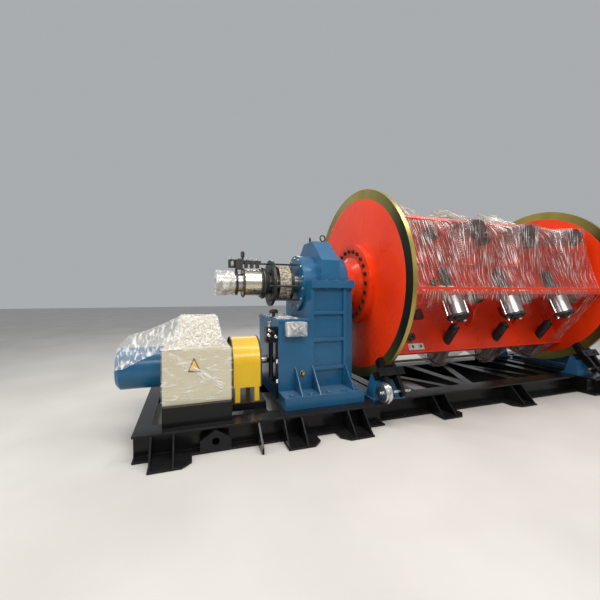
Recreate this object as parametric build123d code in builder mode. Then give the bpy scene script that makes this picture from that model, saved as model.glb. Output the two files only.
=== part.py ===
import os
from math import cos, radians, sin, tan

from build123d import *

os.makedirs("parts", exist_ok=True)

# Sizes are in millimetres. X runs along the machine axis from the drive to the tail,
# Y away from the operator side and Z up, with the floor at Z = 0.

# Whole machine
axis_height = 1366
motor_reach = 2430
tail_reach = 3850
shaft_radius = 100
shaft_bore = 60
running_gap = 6
fit_gap = 0.3

# Cage
disc_radius = 1068
disc_thickness = 45
rim_depth = 102
rim_fit = 0.3
disc_pitch = 3000
cage_turn = 5.45
hex_radius = 877
band_width = 72
band_thickness = 20
web_thickness = 20
core_radius = 270
core_wall = 16
core_flat = 44
window_length = 330
window_height = 150
window_corner = 45
window_place = 400
bobbin_pitch = 785
row_shift = 38
diaphragm_thickness = 16
diaphragm_reach = 520
diaphragm_hollow_place = 700
diaphragm_hollow_radius = 235
hub_flange_radius = 458
hub_flange_thickness = 60
hub_neck_radius = 250
hub_bolt_circle = 380
hub_bolt_radius = 17
hub_bolt_depth = 22
hub_bolt_count = 24
hub_taper = 60
hub_box_gap = 25
tail_hub_length = 230

# Bobbin pintles, with places along each pintle axis measured from the bay's middle
pintle_place = 645
pintle_disc_face = 262
pintle_disc_radius = 100
pintle_disc_thickness = 12
pintle_nose_length = 45
pintle_nose_root = 34
pintle_nose_tip = 16
quill_face = 150
quill_radius = 55
head_radius = 58
cylinder_radius = 98
cylinder_standoff = 42
cylinder_neck_radius = 60
cylinder_end = 662
cylinder_plate_radius = 106
cylinder_plate_thickness = 24
clamp_rod_radius = 11
clamp_rod_place = 150
clamp_rod_end = 640
guide_rod_radius = 6
guide_rod_place = 122

# Base frames
base_height = 205
beam_flange = 16
beam_web = 14
beam_width = 190
drive_base_end = 2250
drive_half_width = 790
cage_half_width = 690
tail_half_width = 880
drive_cage_joint = 90
cage_tail_joint = 2850
cross_width = 120

drive_cross_x = (-2190, -2000, -1560, -1240, -640, -180)
cage_cross_x = (-25, 130, 420, 1180, 1940, 2600)
tail_cross_x = (2915, 3120, 3290, 3600, 3790)

# Anchor feet
drive_foot_x = (-1980, -950, -465)
cage_foot_x = (690, 1700)
tail_foot_x = 3350
foot_reach = 180
foot_thickness = 16
foot_length = 300
foot_corner = 70
foot_hole_radius = 13
foot_hole_spacing = 130
foot_hole_inset = 70
gusset_thickness = 12
gusset_far = 138
gusset_near = 20

# Main gearbox
box_half_width = 432
box_start = 705
box_end = 240
box_flange = 55
box_flange_reach = 28
box_foot_half_width = 660
box_foot_start = 1040
box_foot_height = 110
ladder_rib = 30
ladder_depth = 32
ladder_rungs_z = (505, 790, 1060)
speed_box_start = 1040
speed_box_drop = 366
speed_lid_height = 22
speed_lid_overhang = 8
ladder_post_end = 335
gusset_top_z = 540
gusset_kink_reach = 105
gusset_kink_height = 120
gusset_inset = 12
speed_gusset_place = 870

# Ridge of the upper housing
ridge_start = 580
ridge_end = 380
ridge_half_width = 400
ridge_eaves = 230
ridge_top = 456
ridge_top_half_width = 130
saddle_radius = 300
upper_flange = 18

# Collector and brush frame on the shaft's outer end
shaft_nose_end = 1580
nose_length = 180
nose_radius = 112
ring_drum_start = 1300
ring_drum_end = 1130
ring_drum_radius = 137
ring_flange_radius = 148
ring_flange_thickness = 12
cover_drum_start = 950
cover_drum_end = 790
cover_drum_radius = 180
cap_thickness = 30
inner_cap_thickness = 15
cap_radius = 303
frame_disc_place = 1000
frame_disc_thickness = 28
frame_disc_radius = 245
end_plate_place = 1370
end_plate_radius = 130
end_plate_thickness = 16
tie_radius = 10
tie_circle = 205
tie_turns = (90, 190, 240, 350)
tie_end = 40
frame_slot_circle = 165
frame_slot_length = 90
frame_slot_width = 26
end_plate_arm_width = 60
end_plate_arm_margin = 20

# Motor and its guards
drive_axis_y = -250
drive_axis_z = 600
motor_radius = 178
motor_shaft_gap = 60
motor_chamfer = 30
motor_foot_length = 300
guard_start = 2050
guard_end = 1510
guard_front = 650
guard_back = 150
guard_top = 790
guard_wall = 4
hump_start = 1950
hump_end = 1570
hump_front = 520
hump_back = 60
hump_top = 1040
hump_top_length = 285
hump_top_width = 320
pedestal_height = 155
pedestal_front = 700
pedestal_back = 200
seat_height = 65
seat_end = 1180
seat_margin = 30
coupling_guard_start = 1480
coupling_guard_end = 1215
coupling_guard_radius = 235
coupling_guard_wall = 5
coupling_guard_bottom = 400
coupling_leg = 45
input_shaft_radius = 40
coupling_radius = 110
coupling_length = 150

# Disc brakes, set out along a radius of the disc
brake_lean = 37
brake_pad_gap = 5
brake_pad_thickness = 22
brake_pad_length = 96
brake_arm_thickness = 40
brake_arm_taper = 14
brake_arm_width = 80
brake_arm_gap = 1
brake_pivot_reach = 62
brake_pin_radius = 14
brake_pin_head = 8
brake_tie_thickness = 18
brake_tie_height = 84
brake_tie_length = 290
brake_rod_reach = 250
brake_rod_radius = 12
brake_rod_end = 165
brake_arm_end = 300
chamber_radius = 102
chamber_rim = 16
chamber_shell_radius = 88
chamber_shell_depth = 26
chamber_port_radius = 15
chamber_port_length = 22
brake_plate = 20
brake_plate_length = 350
brake_plate_inner = 490
brake_plate_outer = 700
stand_foot_inner = 520
stand_foot_outer = 680
stand_foot_length = 330
stand_head_length = 250
stand_head_depth = 45
stand_slot = 85

# Tail pedestal
tail_post_start = 3285
tail_post_end = 3600
tail_post_half_width = 330
tail_foot_start = 3200
tail_foot_end = 3690
tail_foot_half_width = 460
tail_foot_height = 40
tail_cap_radius = 220
tail_cap_thickness = 30
tail_shaft_end = 3720

# Lifting lugs, braces and conduit of the bases
side_lug_place = 1305
side_lug_thickness = 16
side_lug_tip_height = 50
side_lug_hole_reach = 62
side_lug_hole_z = 72
side_lug_hole_radius = 28
lug_place = 1650
lug_width = 240
lug_peak = 175
lug_shoulder = 100
lug_hole_z = 85
lug_hole_radius = 30
lug_thickness = 20
brace_width = 70
brace_thickness = 12
conduit_start = 900
conduit_end = 2650
conduit_radius = 20
conduit_height = 50
clamp_wall = 10
clamp_length = 36
clamp_inset = 60

# Fittings of the gearboxes
eye_y = 90
eye_radius = 32
eye_inset = 60
eye_turns = (60, 10)
eye_wire_sides = 8
eye_wire = 7
eye_shank = 9
eye_shank_height = 14
junction_place = 880
junction_drop = 85
junction_width = 180
junction_height = 120
junction_corner = 20
junction_depth = 95
pump_y = -350
pump_z = 860
pump_width = 120
pump_height = 150
pump_depth = 110
pipe_radius = 22
pipe_bottom_z = 400

# Derived places
head_x = (motor_reach - tail_reach) / 2
tail_x = head_x + disc_pitch
disc_inner_x = head_x + disc_thickness
cage_length = disc_pitch - disc_thickness
cage_middle_x = disc_inner_x + cage_length / 2
row_step = 60
rows = 6
web_angle = 180 + cage_turn
bay_angle = web_angle - row_step / 2
row_starts = [-row_shift + (row % 2) * bobbin_pitch / 2 for row in range(rows)]
bobbin_steps = (-1, 0, 1)
window_x = [cage_middle_x - row_shift + step * bobbin_pitch for step in bobbin_steps]
rim_inner_radius = disc_radius - rim_depth
band_inner_radius = hex_radius - band_thickness
foot_top_z = base_height + box_foot_height
speed_box_top = axis_height - speed_box_drop


def cross_plane(x):
    """Plane across the machine axis at x, with Y to its right and Z up."""
    return Plane(origin=(x, 0, axis_height), x_dir=(0, 1, 0), z_dir=(1, 0, 0))


def upright_plane(x):
    """Plane across the machine at x, measured from the floor."""
    return Plane(origin=(x, 0, 0), x_dir=(0, 1, 0), z_dir=(1, 0, 0))


def front_plane(y):
    """Upright plane along the machine at y, with X to its right and Z up, facing the operator."""
    return Plane(origin=(0, y, 0), x_dir=(1, 0, 0), z_dir=(0, -1, 0))


def bay_frame(row, x):
    """Frame of one bay at x: X points out through the bay's middle, Y along its pintles."""
    turn = radians(bay_angle + row_step * row)
    return Plane(origin=(x, 0, axis_height), x_dir=(0, cos(turn), sin(turn)), z_dir=(1, 0, 0))


def web_plane(row):
    """Plane of one web's middle, with X to its right and Y out from the machine axis."""
    turn = radians(web_angle + row_step * row)
    return Plane(origin=(0, 0, axis_height), x_dir=(1, 0, 0), z_dir=(0, -sin(turn), cos(turn)))


def drive_plane(x):
    """Plane across the motor's axis at x."""
    return Plane(origin=(x, drive_axis_y, drive_axis_z), x_dir=(0, 1, 0), z_dir=(1, 0, 0))


# Head and tail discs of the cage, each with a machined brake rim round it

disc_starts = (head_x, tail_x)

with BuildPart() as cage_discs:
    for x in disc_starts:
        with BuildSketch(cross_plane(x)):
            Circle(rim_inner_radius - rim_fit)
            Circle(shaft_radius + fit_gap, mode=Mode.SUBTRACT)
        extrude(amount=disc_thickness)
cage_discs.part.label = "cage_discs"
export_step(cage_discs.part, "parts/cage_discs.step")

with BuildPart() as brake_rims:
    for x in disc_starts:
        with BuildSketch(cross_plane(x)):
            Circle(disc_radius)
            Circle(rim_inner_radius, mode=Mode.SUBTRACT)
        extrude(amount=disc_thickness)
brake_rims.part.label = "brake_rims"
export_step(brake_rims.part, "parts/brake_rims.step")

# Hubs: a bolted flange with a tapered neck on the outer face of each disc

hub_length = box_end - hub_box_gap

with BuildPart() as head_hub:
    with BuildSketch(Plane(origin=(head_x, 0, axis_height), x_dir=(-1, 0, 0), z_dir=(0, -1, 0))):
        with BuildLine():
            Polyline(
                (0, shaft_radius + fit_gap),
                (0, hub_flange_radius),
                (hub_flange_thickness, hub_flange_radius),
                (hub_flange_thickness, hub_neck_radius + hub_taper),
                (hub_flange_thickness + hub_taper, hub_neck_radius),
                (hub_length, hub_neck_radius),
                (hub_length, shaft_radius + fit_gap),
                close=True,
            )
        make_face()
    revolve(axis=Axis((0, 0, axis_height), (1, 0, 0)))
    with BuildSketch(cross_plane(head_x - hub_flange_thickness)):
        with PolarLocations(hub_bolt_circle, hub_bolt_count):
            Circle(hub_bolt_radius)
    extrude(amount=hub_bolt_depth, mode=Mode.SUBTRACT)
head_hub.part.label = "head_hub"
export_step(head_hub.part, "parts/head_hub.step")

with BuildPart() as tail_hub:
    with BuildSketch(
        Plane(origin=(tail_x + disc_thickness, 0, axis_height), x_dir=(1, 0, 0), z_dir=(0, -1, 0))
    ):
        with BuildLine():
            Polyline(
                (0, shaft_radius + fit_gap),
                (0, hub_flange_radius),
                (hub_flange_thickness, hub_flange_radius),
                (hub_flange_thickness, hub_neck_radius + hub_taper),
                (hub_flange_thickness + hub_taper, hub_neck_radius),
                (tail_hub_length, hub_neck_radius),
                (tail_hub_length, shaft_radius + fit_gap),
                close=True,
            )
        make_face()
    revolve(axis=Axis((0, 0, axis_height), (1, 0, 0)))
tail_hub.part.label = "tail_hub"
export_step(tail_hub.part, "parts/tail_hub.step")

# Hexagonal core tube, whose corners are flattened to seat the webs

core_seat = core_radius - core_flat / 2 * tan(radians(row_step / 2))

with BuildPart() as cage_core:
    with BuildSketch(cross_plane(disc_inner_x)) as core_section:
        RegularPolygon(core_radius, rows, rotation=web_angle)
        chamfer(core_section.vertices(), length=core_flat / 2 / cos(radians(row_step / 2)))
        Circle(core_radius * cos(radians(row_step / 2)) - core_wall, mode=Mode.SUBTRACT)
    extrude(amount=cage_length)
cage_core.part.label = "cage_core"
export_step(cage_core.part, "parts/cage_core.step")

# Radial webs between the core and the corner bands, with a window at each bobbin

web_middle_radius = (core_seat + band_inner_radius) / 2

with BuildPart() as cage_webs:
    with BuildSketch(cross_plane(disc_inner_x)):
        with PolarLocations(web_middle_radius, rows, start_angle=web_angle):
            Rectangle(band_inner_radius - core_seat, web_thickness)
    extrude(amount=cage_length)
    for row in range(rows):
        with BuildSketch(web_plane(row)):
            for x in window_x:
                with Locations((x, window_place)):
                    RectangleRounded(window_length, window_height, window_corner)
        extrude(amount=web_thickness, both=True, mode=Mode.SUBTRACT)
cage_webs.part.label = "cage_webs"
export_step(cage_webs.part, "parts/cage_webs.step")

with BuildPart() as corner_bands:
    with BuildSketch(cross_plane(disc_inner_x)):
        with PolarLocations(hex_radius - band_thickness / 2, rows, start_angle=web_angle):
            Rectangle(band_thickness, band_width)
    extrude(amount=cage_length)
corner_bands.part.label = "corner_bands"
export_step(corner_bands.part, "parts/corner_bands.step")

# Diaphragms across each bay, between its bobbins, with a hollowed outer edge. Each is modelled
# once in the bay's own frame, where X points out from the machine axis and Y along the pintles.
# The bobbins of every second row stand half a pitch further along the machine.

web_lean = radians(row_step / 2)
web_half_slant = web_thickness / 2 / cos(web_lean)
core_face = core_radius * cos(web_lean)
diaphragm_frames = [
    bay_frame(row, cage_middle_x + row_starts[row] + side * bobbin_pitch / 2)
    for row in range(rows)
    for side in (-1, 1)
]

with BuildPart() as one_diaphragm:
    with BuildSketch(Plane.XY.offset(-diaphragm_thickness / 2)):
        with BuildLine():
            Polyline(
                (core_face, web_half_slant - core_face * tan(web_lean)),
                (core_face, core_face * tan(web_lean) - web_half_slant),
                (diaphragm_reach, diaphragm_reach * tan(web_lean) - web_half_slant),
                (diaphragm_reach, web_half_slant - diaphragm_reach * tan(web_lean)),
                close=True,
            )
        make_face()
        with Locations((diaphragm_hollow_place, 0)):
            Circle(diaphragm_hollow_radius, mode=Mode.SUBTRACT)
    extrude(amount=diaphragm_thickness)

with BuildPart() as diaphragms:
    with Locations(*diaphragm_frames):
        add(one_diaphragm.part)
diaphragms.part.label = "diaphragms"
export_step(diaphragms.part, "parts/diaphragms.step")

# Bobbin pintles: a fixed disc on a head at one web of the bay, and a sliding quill at the other.
# The quill goes on through its web into a clamp cylinder, which stands in the next bay beside
# its chrome rods. Each piece is modelled once in the bay's frame and repeated for every bobbin.

bay_frames = [
    bay_frame(row, cage_middle_x + row_starts[row] + step * bobbin_pitch)
    for row in range(rows)
    for step in bobbin_steps
]


def pintle_plane(side, place):
    """Plane across the pintle axis, at a place on one side of the bay's middle, facing outward."""
    return Plane(origin=(pintle_place, side * place, 0), x_dir=(0, 0, 1), z_dir=(0, side, 0))


def web_face(side, inset):
    """Plane along the web on one side, set off from its middle towards the next bay."""
    normal = (-sin(web_lean), side * cos(web_lean), 0)
    return Plane(origin=(normal[0] * inset, normal[1] * inset, 0), z_dir=normal)


with BuildPart() as one_disc:
    with BuildSketch(pintle_plane(-1, pintle_disc_face)):
        Circle(pintle_disc_radius)
    extrude(amount=pintle_disc_thickness)
    with Locations(pintle_plane(-1, pintle_disc_face - pintle_nose_length / 2)):
        Cone(pintle_nose_tip, pintle_nose_root, pintle_nose_length)

with BuildPart() as pintle_discs:
    with Locations(*bay_frames):
        add(one_disc.part)
pintle_discs.part.label = "pintle_discs"
export_step(pintle_discs.part, "parts/pintle_discs.step")

with BuildPart() as one_head:
    with BuildSketch(pintle_plane(-1, pintle_disc_face + pintle_disc_thickness)):
        Circle(head_radius)
    extrude(amount=pintle_place)
    split(bisect_by=web_face(-1, -web_thickness / 2), keep=Keep.BOTTOM)

with BuildPart() as pintle_heads:
    with Locations(*bay_frames):
        add(one_head.part)
pintle_heads.part.label = "pintle_heads"
export_step(pintle_heads.part, "parts/pintle_heads.step")

with BuildPart() as one_quill:
    with BuildSketch(pintle_plane(1, quill_face)):
        Circle(quill_radius)
    extrude(amount=pintle_place)
    split(bisect_by=web_face(1, -web_thickness / 2), keep=Keep.BOTTOM)
    with Locations(pintle_plane(1, quill_face - pintle_nose_length / 2)):
        Cone(pintle_nose_tip, pintle_nose_root, pintle_nose_length)

with BuildPart() as pintle_quills:
    with Locations(*bay_frames):
        add(one_quill.part)
pintle_quills.part.label = "pintle_quills"
export_step(pintle_quills.part, "parts/pintle_quills.step")

with BuildPart() as one_cylinder:
    with BuildSketch(pintle_plane(1, quill_face)):
        Circle(cylinder_radius)
    extrude(amount=cylinder_end - quill_face)
    split(bisect_by=web_face(1, cylinder_standoff), keep=Keep.TOP)
    with BuildSketch(pintle_plane(1, quill_face)):
        Circle(cylinder_neck_radius)
    extrude(amount=cylinder_end - quill_face)
    split(bisect_by=web_face(1, web_thickness / 2), keep=Keep.TOP)

with BuildPart() as clamp_cylinders:
    with Locations(*bay_frames):
        add(one_cylinder.part)
clamp_cylinders.part.label = "clamp_cylinders"
export_step(clamp_cylinders.part, "parts/clamp_cylinders.step")

with BuildPart() as one_cylinder_plate:
    with BuildSketch(pintle_plane(1, cylinder_end)):
        Circle(cylinder_plate_radius)
    extrude(amount=cylinder_plate_thickness)

with BuildPart() as cylinder_plates:
    with Locations(*bay_frames):
        add(one_cylinder_plate.part)
cylinder_plates.part.label = "cylinder_plates"
export_step(cylinder_plates.part, "parts/cylinder_plates.step")

with BuildPart() as one_rod_pair:
    with BuildSketch(pintle_plane(1, quill_face)):
        with Locations((clamp_rod_place, 0)):
            Circle(clamp_rod_radius)
        with Locations((-guide_rod_place, 0)):
            Circle(guide_rod_radius)
    extrude(amount=clamp_rod_end - quill_face)
    split(bisect_by=web_face(1, web_thickness / 2), keep=Keep.TOP)

with BuildPart() as clamp_rods:
    with Locations(*bay_frames):
        add(one_rod_pair.part)
clamp_rods.part.label = "clamp_rods"
export_step(clamp_rods.part, "parts/clamp_rods.step")

# Hollow main shaft and what turns with it on its outer end

with BuildPart() as main_shaft:
    with BuildSketch(cross_plane(head_x - shaft_nose_end)):
        Circle(shaft_radius)
        Circle(shaft_bore, mode=Mode.SUBTRACT)
    extrude(amount=shaft_nose_end + tail_shaft_end)
main_shaft.part.label = "main_shaft"
export_step(main_shaft.part, "parts/main_shaft.step")

with BuildPart() as shaft_nose:
    with BuildSketch(cross_plane(head_x - shaft_nose_end)):
        Circle(nose_radius)
        Circle(shaft_radius + fit_gap, mode=Mode.SUBTRACT)
    extrude(amount=nose_length)
shaft_nose.part.label = "shaft_nose"
export_step(shaft_nose.part, "parts/shaft_nose.step")

with BuildPart() as slip_ring_drum:
    with BuildSketch(cross_plane(head_x - ring_drum_start)):
        Circle(ring_drum_radius)
        Circle(shaft_radius + fit_gap, mode=Mode.SUBTRACT)
    extrude(amount=ring_drum_start - ring_drum_end)
    for x in (head_x - ring_drum_start - ring_flange_thickness, head_x - ring_drum_end):
        with BuildSketch(cross_plane(x)):
            Circle(ring_flange_radius)
            Circle(shaft_radius + fit_gap, mode=Mode.SUBTRACT)
        extrude(amount=ring_flange_thickness)
slip_ring_drum.part.label = "slip_ring_drum"
export_step(slip_ring_drum.part, "parts/slip_ring_drum.step")

with BuildPart() as cover_drum:
    with BuildSketch(cross_plane(head_x - cover_drum_start)):
        Circle(cover_drum_radius)
        Circle(shaft_radius + fit_gap, mode=Mode.SUBTRACT)
    extrude(amount=cover_drum_start - cover_drum_end)
cover_drum.part.label = "cover_drum"
export_step(cover_drum.part, "parts/cover_drum.step")

# Main gearbox: a welded lower housing on its foot, split at the axis from the upper housing

ladder_posts_x = (head_x - box_start + ladder_rib / 2, head_x - ladder_post_end)
box_body_half_width = box_half_width - ladder_depth
box_gusset_reach = box_foot_half_width - gusset_inset

with BuildPart() as gear_housing_lower:
    with BuildSketch(Plane.XY.offset(base_height)):
        with Locations((head_x - (box_foot_start + box_end) / 2, 0)):
            Rectangle(box_foot_start - box_end, 2 * box_foot_half_width)
    extrude(amount=box_foot_height)
    with BuildSketch(Plane.XY.offset(foot_top_z)):
        with Locations((head_x - (box_start + box_end) / 2, 0)):
            Rectangle(box_start - box_end, 2 * box_body_half_width)
    extrude(amount=axis_height - foot_top_z)
    with BuildSketch(Plane.XY.offset(axis_height - box_flange)):
        with Locations((head_x - (box_start + box_end) / 2, 0)):
            Rectangle(box_start - box_end, 2 * (box_half_width + box_flange_reach))
    extrude(amount=box_flange)
    for x in ladder_posts_x:
        with BuildSketch(Plane.XY.offset(foot_top_z)):
            with Locations((x, 0)):
                Rectangle(ladder_rib, 2 * box_half_width)
        extrude(amount=axis_height - box_flange - foot_top_z)
    for z in ladder_rungs_z:
        with BuildSketch(Plane.XY.offset(z - ladder_rib / 2)):
            with Locations(((ladder_posts_x[0] + ladder_posts_x[1]) / 2, 0)):
                Rectangle(ladder_posts_x[1] - ladder_posts_x[0], 2 * box_half_width)
        extrude(amount=ladder_rib)
    for x in ladder_posts_x:
        for side in (1, -1):
            with BuildSketch(upright_plane(x - gusset_thickness / 2)):
                with BuildLine():
                    Polyline(
                        (side * box_body_half_width, foot_top_z),
                        (side * box_gusset_reach, foot_top_z),
                        (side * box_half_width, gusset_top_z),
                        (side * box_body_half_width, gusset_top_z),
                        close=True,
                    )
                make_face()
            extrude(amount=gusset_thickness)
    with BuildSketch(cross_plane(head_x - box_start)):
        Circle(shaft_radius + running_gap)
    extrude(amount=box_start - box_end, mode=Mode.SUBTRACT)
gear_housing_lower.part.label = "gear_housing_lower"
export_step(gear_housing_lower.part, "parts/gear_housing_lower.step")

with BuildPart() as gear_housing_upper:
    with BuildSketch(Plane.XY.offset(axis_height)):
        with Locations((head_x - (box_start + box_end) / 2, 0)):
            Rectangle(box_start - box_end, 2 * (box_half_width + box_flange_reach))
    extrude(amount=upper_flange)
    with BuildSketch(cross_plane(head_x - ridge_start)):
        with BuildLine():
            Polyline(
                (-ridge_half_width, 0),
                (-ridge_half_width, ridge_eaves),
                (-ridge_top_half_width, ridge_top),
                (ridge_top_half_width, ridge_top),
                (ridge_half_width, ridge_eaves),
                (ridge_half_width, 0),
                close=True,
            )
        make_face()
    extrude(amount=ridge_start - ridge_end)
    with BuildSketch(cross_plane(head_x - box_start)):
        Circle(saddle_radius)
        with Locations((0, -saddle_radius)):
            Rectangle(2 * saddle_radius, 2 * saddle_radius, mode=Mode.SUBTRACT)
    extrude(amount=box_start - box_end)
    with BuildSketch(cross_plane(head_x - box_start)):
        Circle(shaft_radius + running_gap)
    extrude(amount=box_start - box_end, mode=Mode.SUBTRACT)
gear_housing_upper.part.label = "gear_housing_upper"
export_step(gear_housing_upper.part, "parts/gear_housing_upper.step")

cap_places = ((head_x - box_start - cap_thickness, cap_thickness), (head_x - box_end, inner_cap_thickness))

with BuildPart() as bearing_caps:
    for x, thickness in cap_places:
        with BuildSketch(cross_plane(x)):
            Circle(cap_radius)
            Circle(shaft_radius + fit_gap, mode=Mode.SUBTRACT)
        extrude(amount=thickness)
bearing_caps.part.label = "bearing_caps"
export_step(bearing_caps.part, "parts/bearing_caps.step")

# Speed gearbox: the lower box against the main gearbox's outer face, under a bolted lid

with BuildPart() as speed_gearbox:
    with BuildSketch(Plane.XY.offset(foot_top_z)):
        with Locations((head_x - (speed_box_start + box_start) / 2, 0)):
            Rectangle(speed_box_start - box_start, 2 * box_half_width)
    extrude(amount=speed_box_top - speed_lid_height - foot_top_z)
    for side in (1, -1):
        with BuildSketch(upright_plane(head_x - speed_gusset_place - gusset_thickness / 2)):
            with BuildLine():
                Polyline(
                    (side * box_half_width, foot_top_z),
                    (side * box_gusset_reach, foot_top_z),
                    (side * (box_half_width + gusset_kink_reach), foot_top_z + gusset_kink_height),
                    (side * box_half_width, gusset_top_z),
                    close=True,
                )
            make_face()
        extrude(amount=gusset_thickness)
speed_gearbox.part.label = "speed_gearbox"
export_step(speed_gearbox.part, "parts/speed_gearbox.step")

lid_start = speed_box_start + speed_lid_overhang

with BuildPart() as speed_gearbox_lid:
    with BuildSketch(Plane.XY.offset(speed_box_top - speed_lid_height)):
        with Locations((head_x - (lid_start + box_start) / 2, 0)):
            Rectangle(lid_start - box_start, 2 * (box_half_width + speed_lid_overhang))
    extrude(amount=speed_lid_height)
speed_gearbox_lid.part.label = "speed_gearbox_lid"
export_step(speed_gearbox_lid.part, "parts/speed_gearbox_lid.step")

# Brush frame: a ring and a slotted disc on tie bars from the bearing cap

frame_disc_end = frame_disc_place + frame_disc_thickness

with BuildPart() as brush_frame:
    with BuildSketch(cross_plane(head_x - frame_disc_end)):
        Circle(frame_disc_radius)
        Circle(shaft_radius + running_gap, mode=Mode.SUBTRACT)
        with PolarLocations(frame_slot_circle, 4, start_angle=45):
            SlotOverall(frame_slot_length, frame_slot_width, rotation=90, mode=Mode.SUBTRACT)
    extrude(amount=frame_disc_thickness)
    for turn in tie_turns:
        with BuildSketch(cross_plane(head_x - frame_disc_end - tie_end)):
            with PolarLocations(tie_circle, 1, start_angle=turn):
                Circle(tie_radius)
        extrude(amount=frame_disc_end + tie_end - box_start - cap_thickness)
    with BuildSketch(cross_plane(head_x - end_plate_place)):
        with PolarLocations(tie_circle, 1, start_angle=90):
            Circle(tie_radius)
    extrude(amount=end_plate_place - frame_disc_place)
    with BuildSketch(cross_plane(head_x - end_plate_place - end_plate_thickness)):
        Circle(end_plate_radius)
        with Locations((0, tie_circle / 2)):
            Rectangle(end_plate_arm_width, tie_circle + 2 * end_plate_arm_margin)
        Circle(shaft_radius + running_gap, mode=Mode.SUBTRACT)
    extrude(amount=end_plate_thickness)
brush_frame.part.label = "brush_frame"
export_step(brush_frame.part, "parts/brush_frame.step")

# Motor on its pedestal, with a sheet guard over it and a barrel-topped guard over the coupling

with BuildPart() as motor_pedestal:
    with BuildSketch(Plane.XY.offset(base_height)):
        with Locations((head_x - (guard_start + guard_end) / 2, (pedestal_back - pedestal_front) / 2)):
            Rectangle(guard_start - guard_end, pedestal_back + pedestal_front)
    extrude(amount=pedestal_height)
motor_pedestal.part.label = "motor_pedestal"
export_step(motor_pedestal.part, "parts/motor_pedestal.step")

with BuildPart() as coupling_seat:
    with BuildSketch(Plane.XY.offset(base_height)):
        with Locations((head_x - (guard_end + seat_end) / 2, drive_axis_y)):
            Rectangle(guard_end - seat_end, 2 * (coupling_guard_radius + seat_margin))
    extrude(amount=seat_height)
coupling_seat.part.label = "coupling_seat"
export_step(coupling_seat.part, "parts/coupling_seat.step")

with BuildPart() as motor:
    with BuildSketch(drive_plane(head_x - motor_reach)):
        Circle(motor_radius)
    extrude(amount=motor_reach - guard_end - motor_shaft_gap)
    chamfer(motor.faces().sort_by(Axis.X)[0].edges(), length=motor_chamfer)
    with BuildSketch(Plane.XY.offset(base_height + pedestal_height)):
        with Locations((head_x - (guard_start + guard_end) / 2, drive_axis_y)):
            Rectangle(motor_foot_length, 2 * motor_radius)
    extrude(amount=drive_axis_z - base_height - pedestal_height)
motor.part.label = "motor"
export_step(motor.part, "parts/motor.step")

with BuildPart() as motor_guard:
    with BuildSketch(Plane.XY.offset(base_height + pedestal_height)):
        with Locations((head_x - (guard_start + guard_end) / 2, (guard_back - guard_front) / 2)):
            Rectangle(guard_start - guard_end, guard_back + guard_front)
    extrude(amount=guard_top - base_height - pedestal_height)
    with BuildSketch(Plane.XY.offset(guard_top)):
        with Locations((head_x - (hump_start + hump_end) / 2, -(hump_front + hump_back) / 2)):
            Rectangle(hump_start - hump_end, hump_front - hump_back)
    with BuildSketch(Plane.XY.offset(hump_top)):
        with Locations((head_x - (hump_start + hump_end) / 2, -(hump_front + hump_back) / 2)):
            Rectangle(hump_top_length, hump_top_width)
    loft()
    with BuildSketch(Plane.XY.offset(base_height + pedestal_height)):
        with Locations((head_x - (guard_start + guard_end) / 2, (guard_back - guard_front) / 2)):
            Rectangle(guard_start - guard_end - 2 * guard_wall, guard_back + guard_front - 2 * guard_wall)
    extrude(amount=guard_top - guard_wall - base_height - pedestal_height, mode=Mode.SUBTRACT)
    with BuildSketch(drive_plane(head_x - guard_start)):
        Circle(motor_radius + running_gap)
    extrude(amount=guard_wall, mode=Mode.SUBTRACT)
    with BuildSketch(drive_plane(head_x - guard_end - guard_wall)):
        Circle(input_shaft_radius + running_gap)
    extrude(amount=guard_wall, mode=Mode.SUBTRACT)
motor_guard.part.label = "motor_guard"
export_step(motor_guard.part, "parts/motor_guard.step")

# Coupling between the motor and the speed gearbox, under a guard bent over it on four legs

input_shaft_start = head_x - guard_end - motor_shaft_gap + fit_gap
coupling_middle_x = head_x - (coupling_guard_start + coupling_guard_end) / 2
coupling_guard_inside = coupling_guard_radius - coupling_guard_wall
guard_skirt = drive_axis_z - coupling_guard_bottom

with BuildPart() as input_coupling:
    with BuildSketch(drive_plane(input_shaft_start)):
        Circle(input_shaft_radius)
    extrude(amount=head_x - speed_box_start - fit_gap - input_shaft_start)
    with BuildSketch(drive_plane(coupling_middle_x - coupling_length / 2)):
        Circle(coupling_radius)
    extrude(amount=coupling_length)
input_coupling.part.label = "input_coupling"
export_step(input_coupling.part, "parts/input_coupling.step")

with BuildPart() as coupling_guard:
    with BuildSketch(drive_plane(head_x - coupling_guard_start)):
        Circle(coupling_guard_radius)
        with Locations((0, -guard_skirt / 2)):
            Rectangle(2 * coupling_guard_radius, guard_skirt)
        with Locations((0, -guard_skirt - coupling_guard_radius)):
            Rectangle(2 * coupling_guard_radius, 2 * coupling_guard_radius, mode=Mode.SUBTRACT)
        Circle(coupling_guard_inside, mode=Mode.SUBTRACT)
        with Locations((0, -coupling_guard_radius)):
            Rectangle(2 * coupling_guard_inside, 2 * coupling_guard_radius, mode=Mode.SUBTRACT)
    extrude(amount=coupling_guard_start - coupling_guard_end)
    leg_bottom = base_height + seat_height
    for side in (1, -1):
        leg_y = drive_axis_y + side * (coupling_guard_radius - coupling_guard_wall / 2)
        with BuildSketch(Plane.XY.offset(leg_bottom)):
            with Locations((coupling_middle_x, leg_y)):
                with GridLocations(coupling_guard_start - coupling_guard_end - 2 * coupling_leg, 1, 2, 1):
                    Rectangle(coupling_leg, coupling_guard_wall)
        extrude(amount=coupling_guard_bottom - leg_bottom)
coupling_guard.part.label = "coupling_guard"
export_step(coupling_guard.part, "parts/coupling_guard.step")

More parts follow.
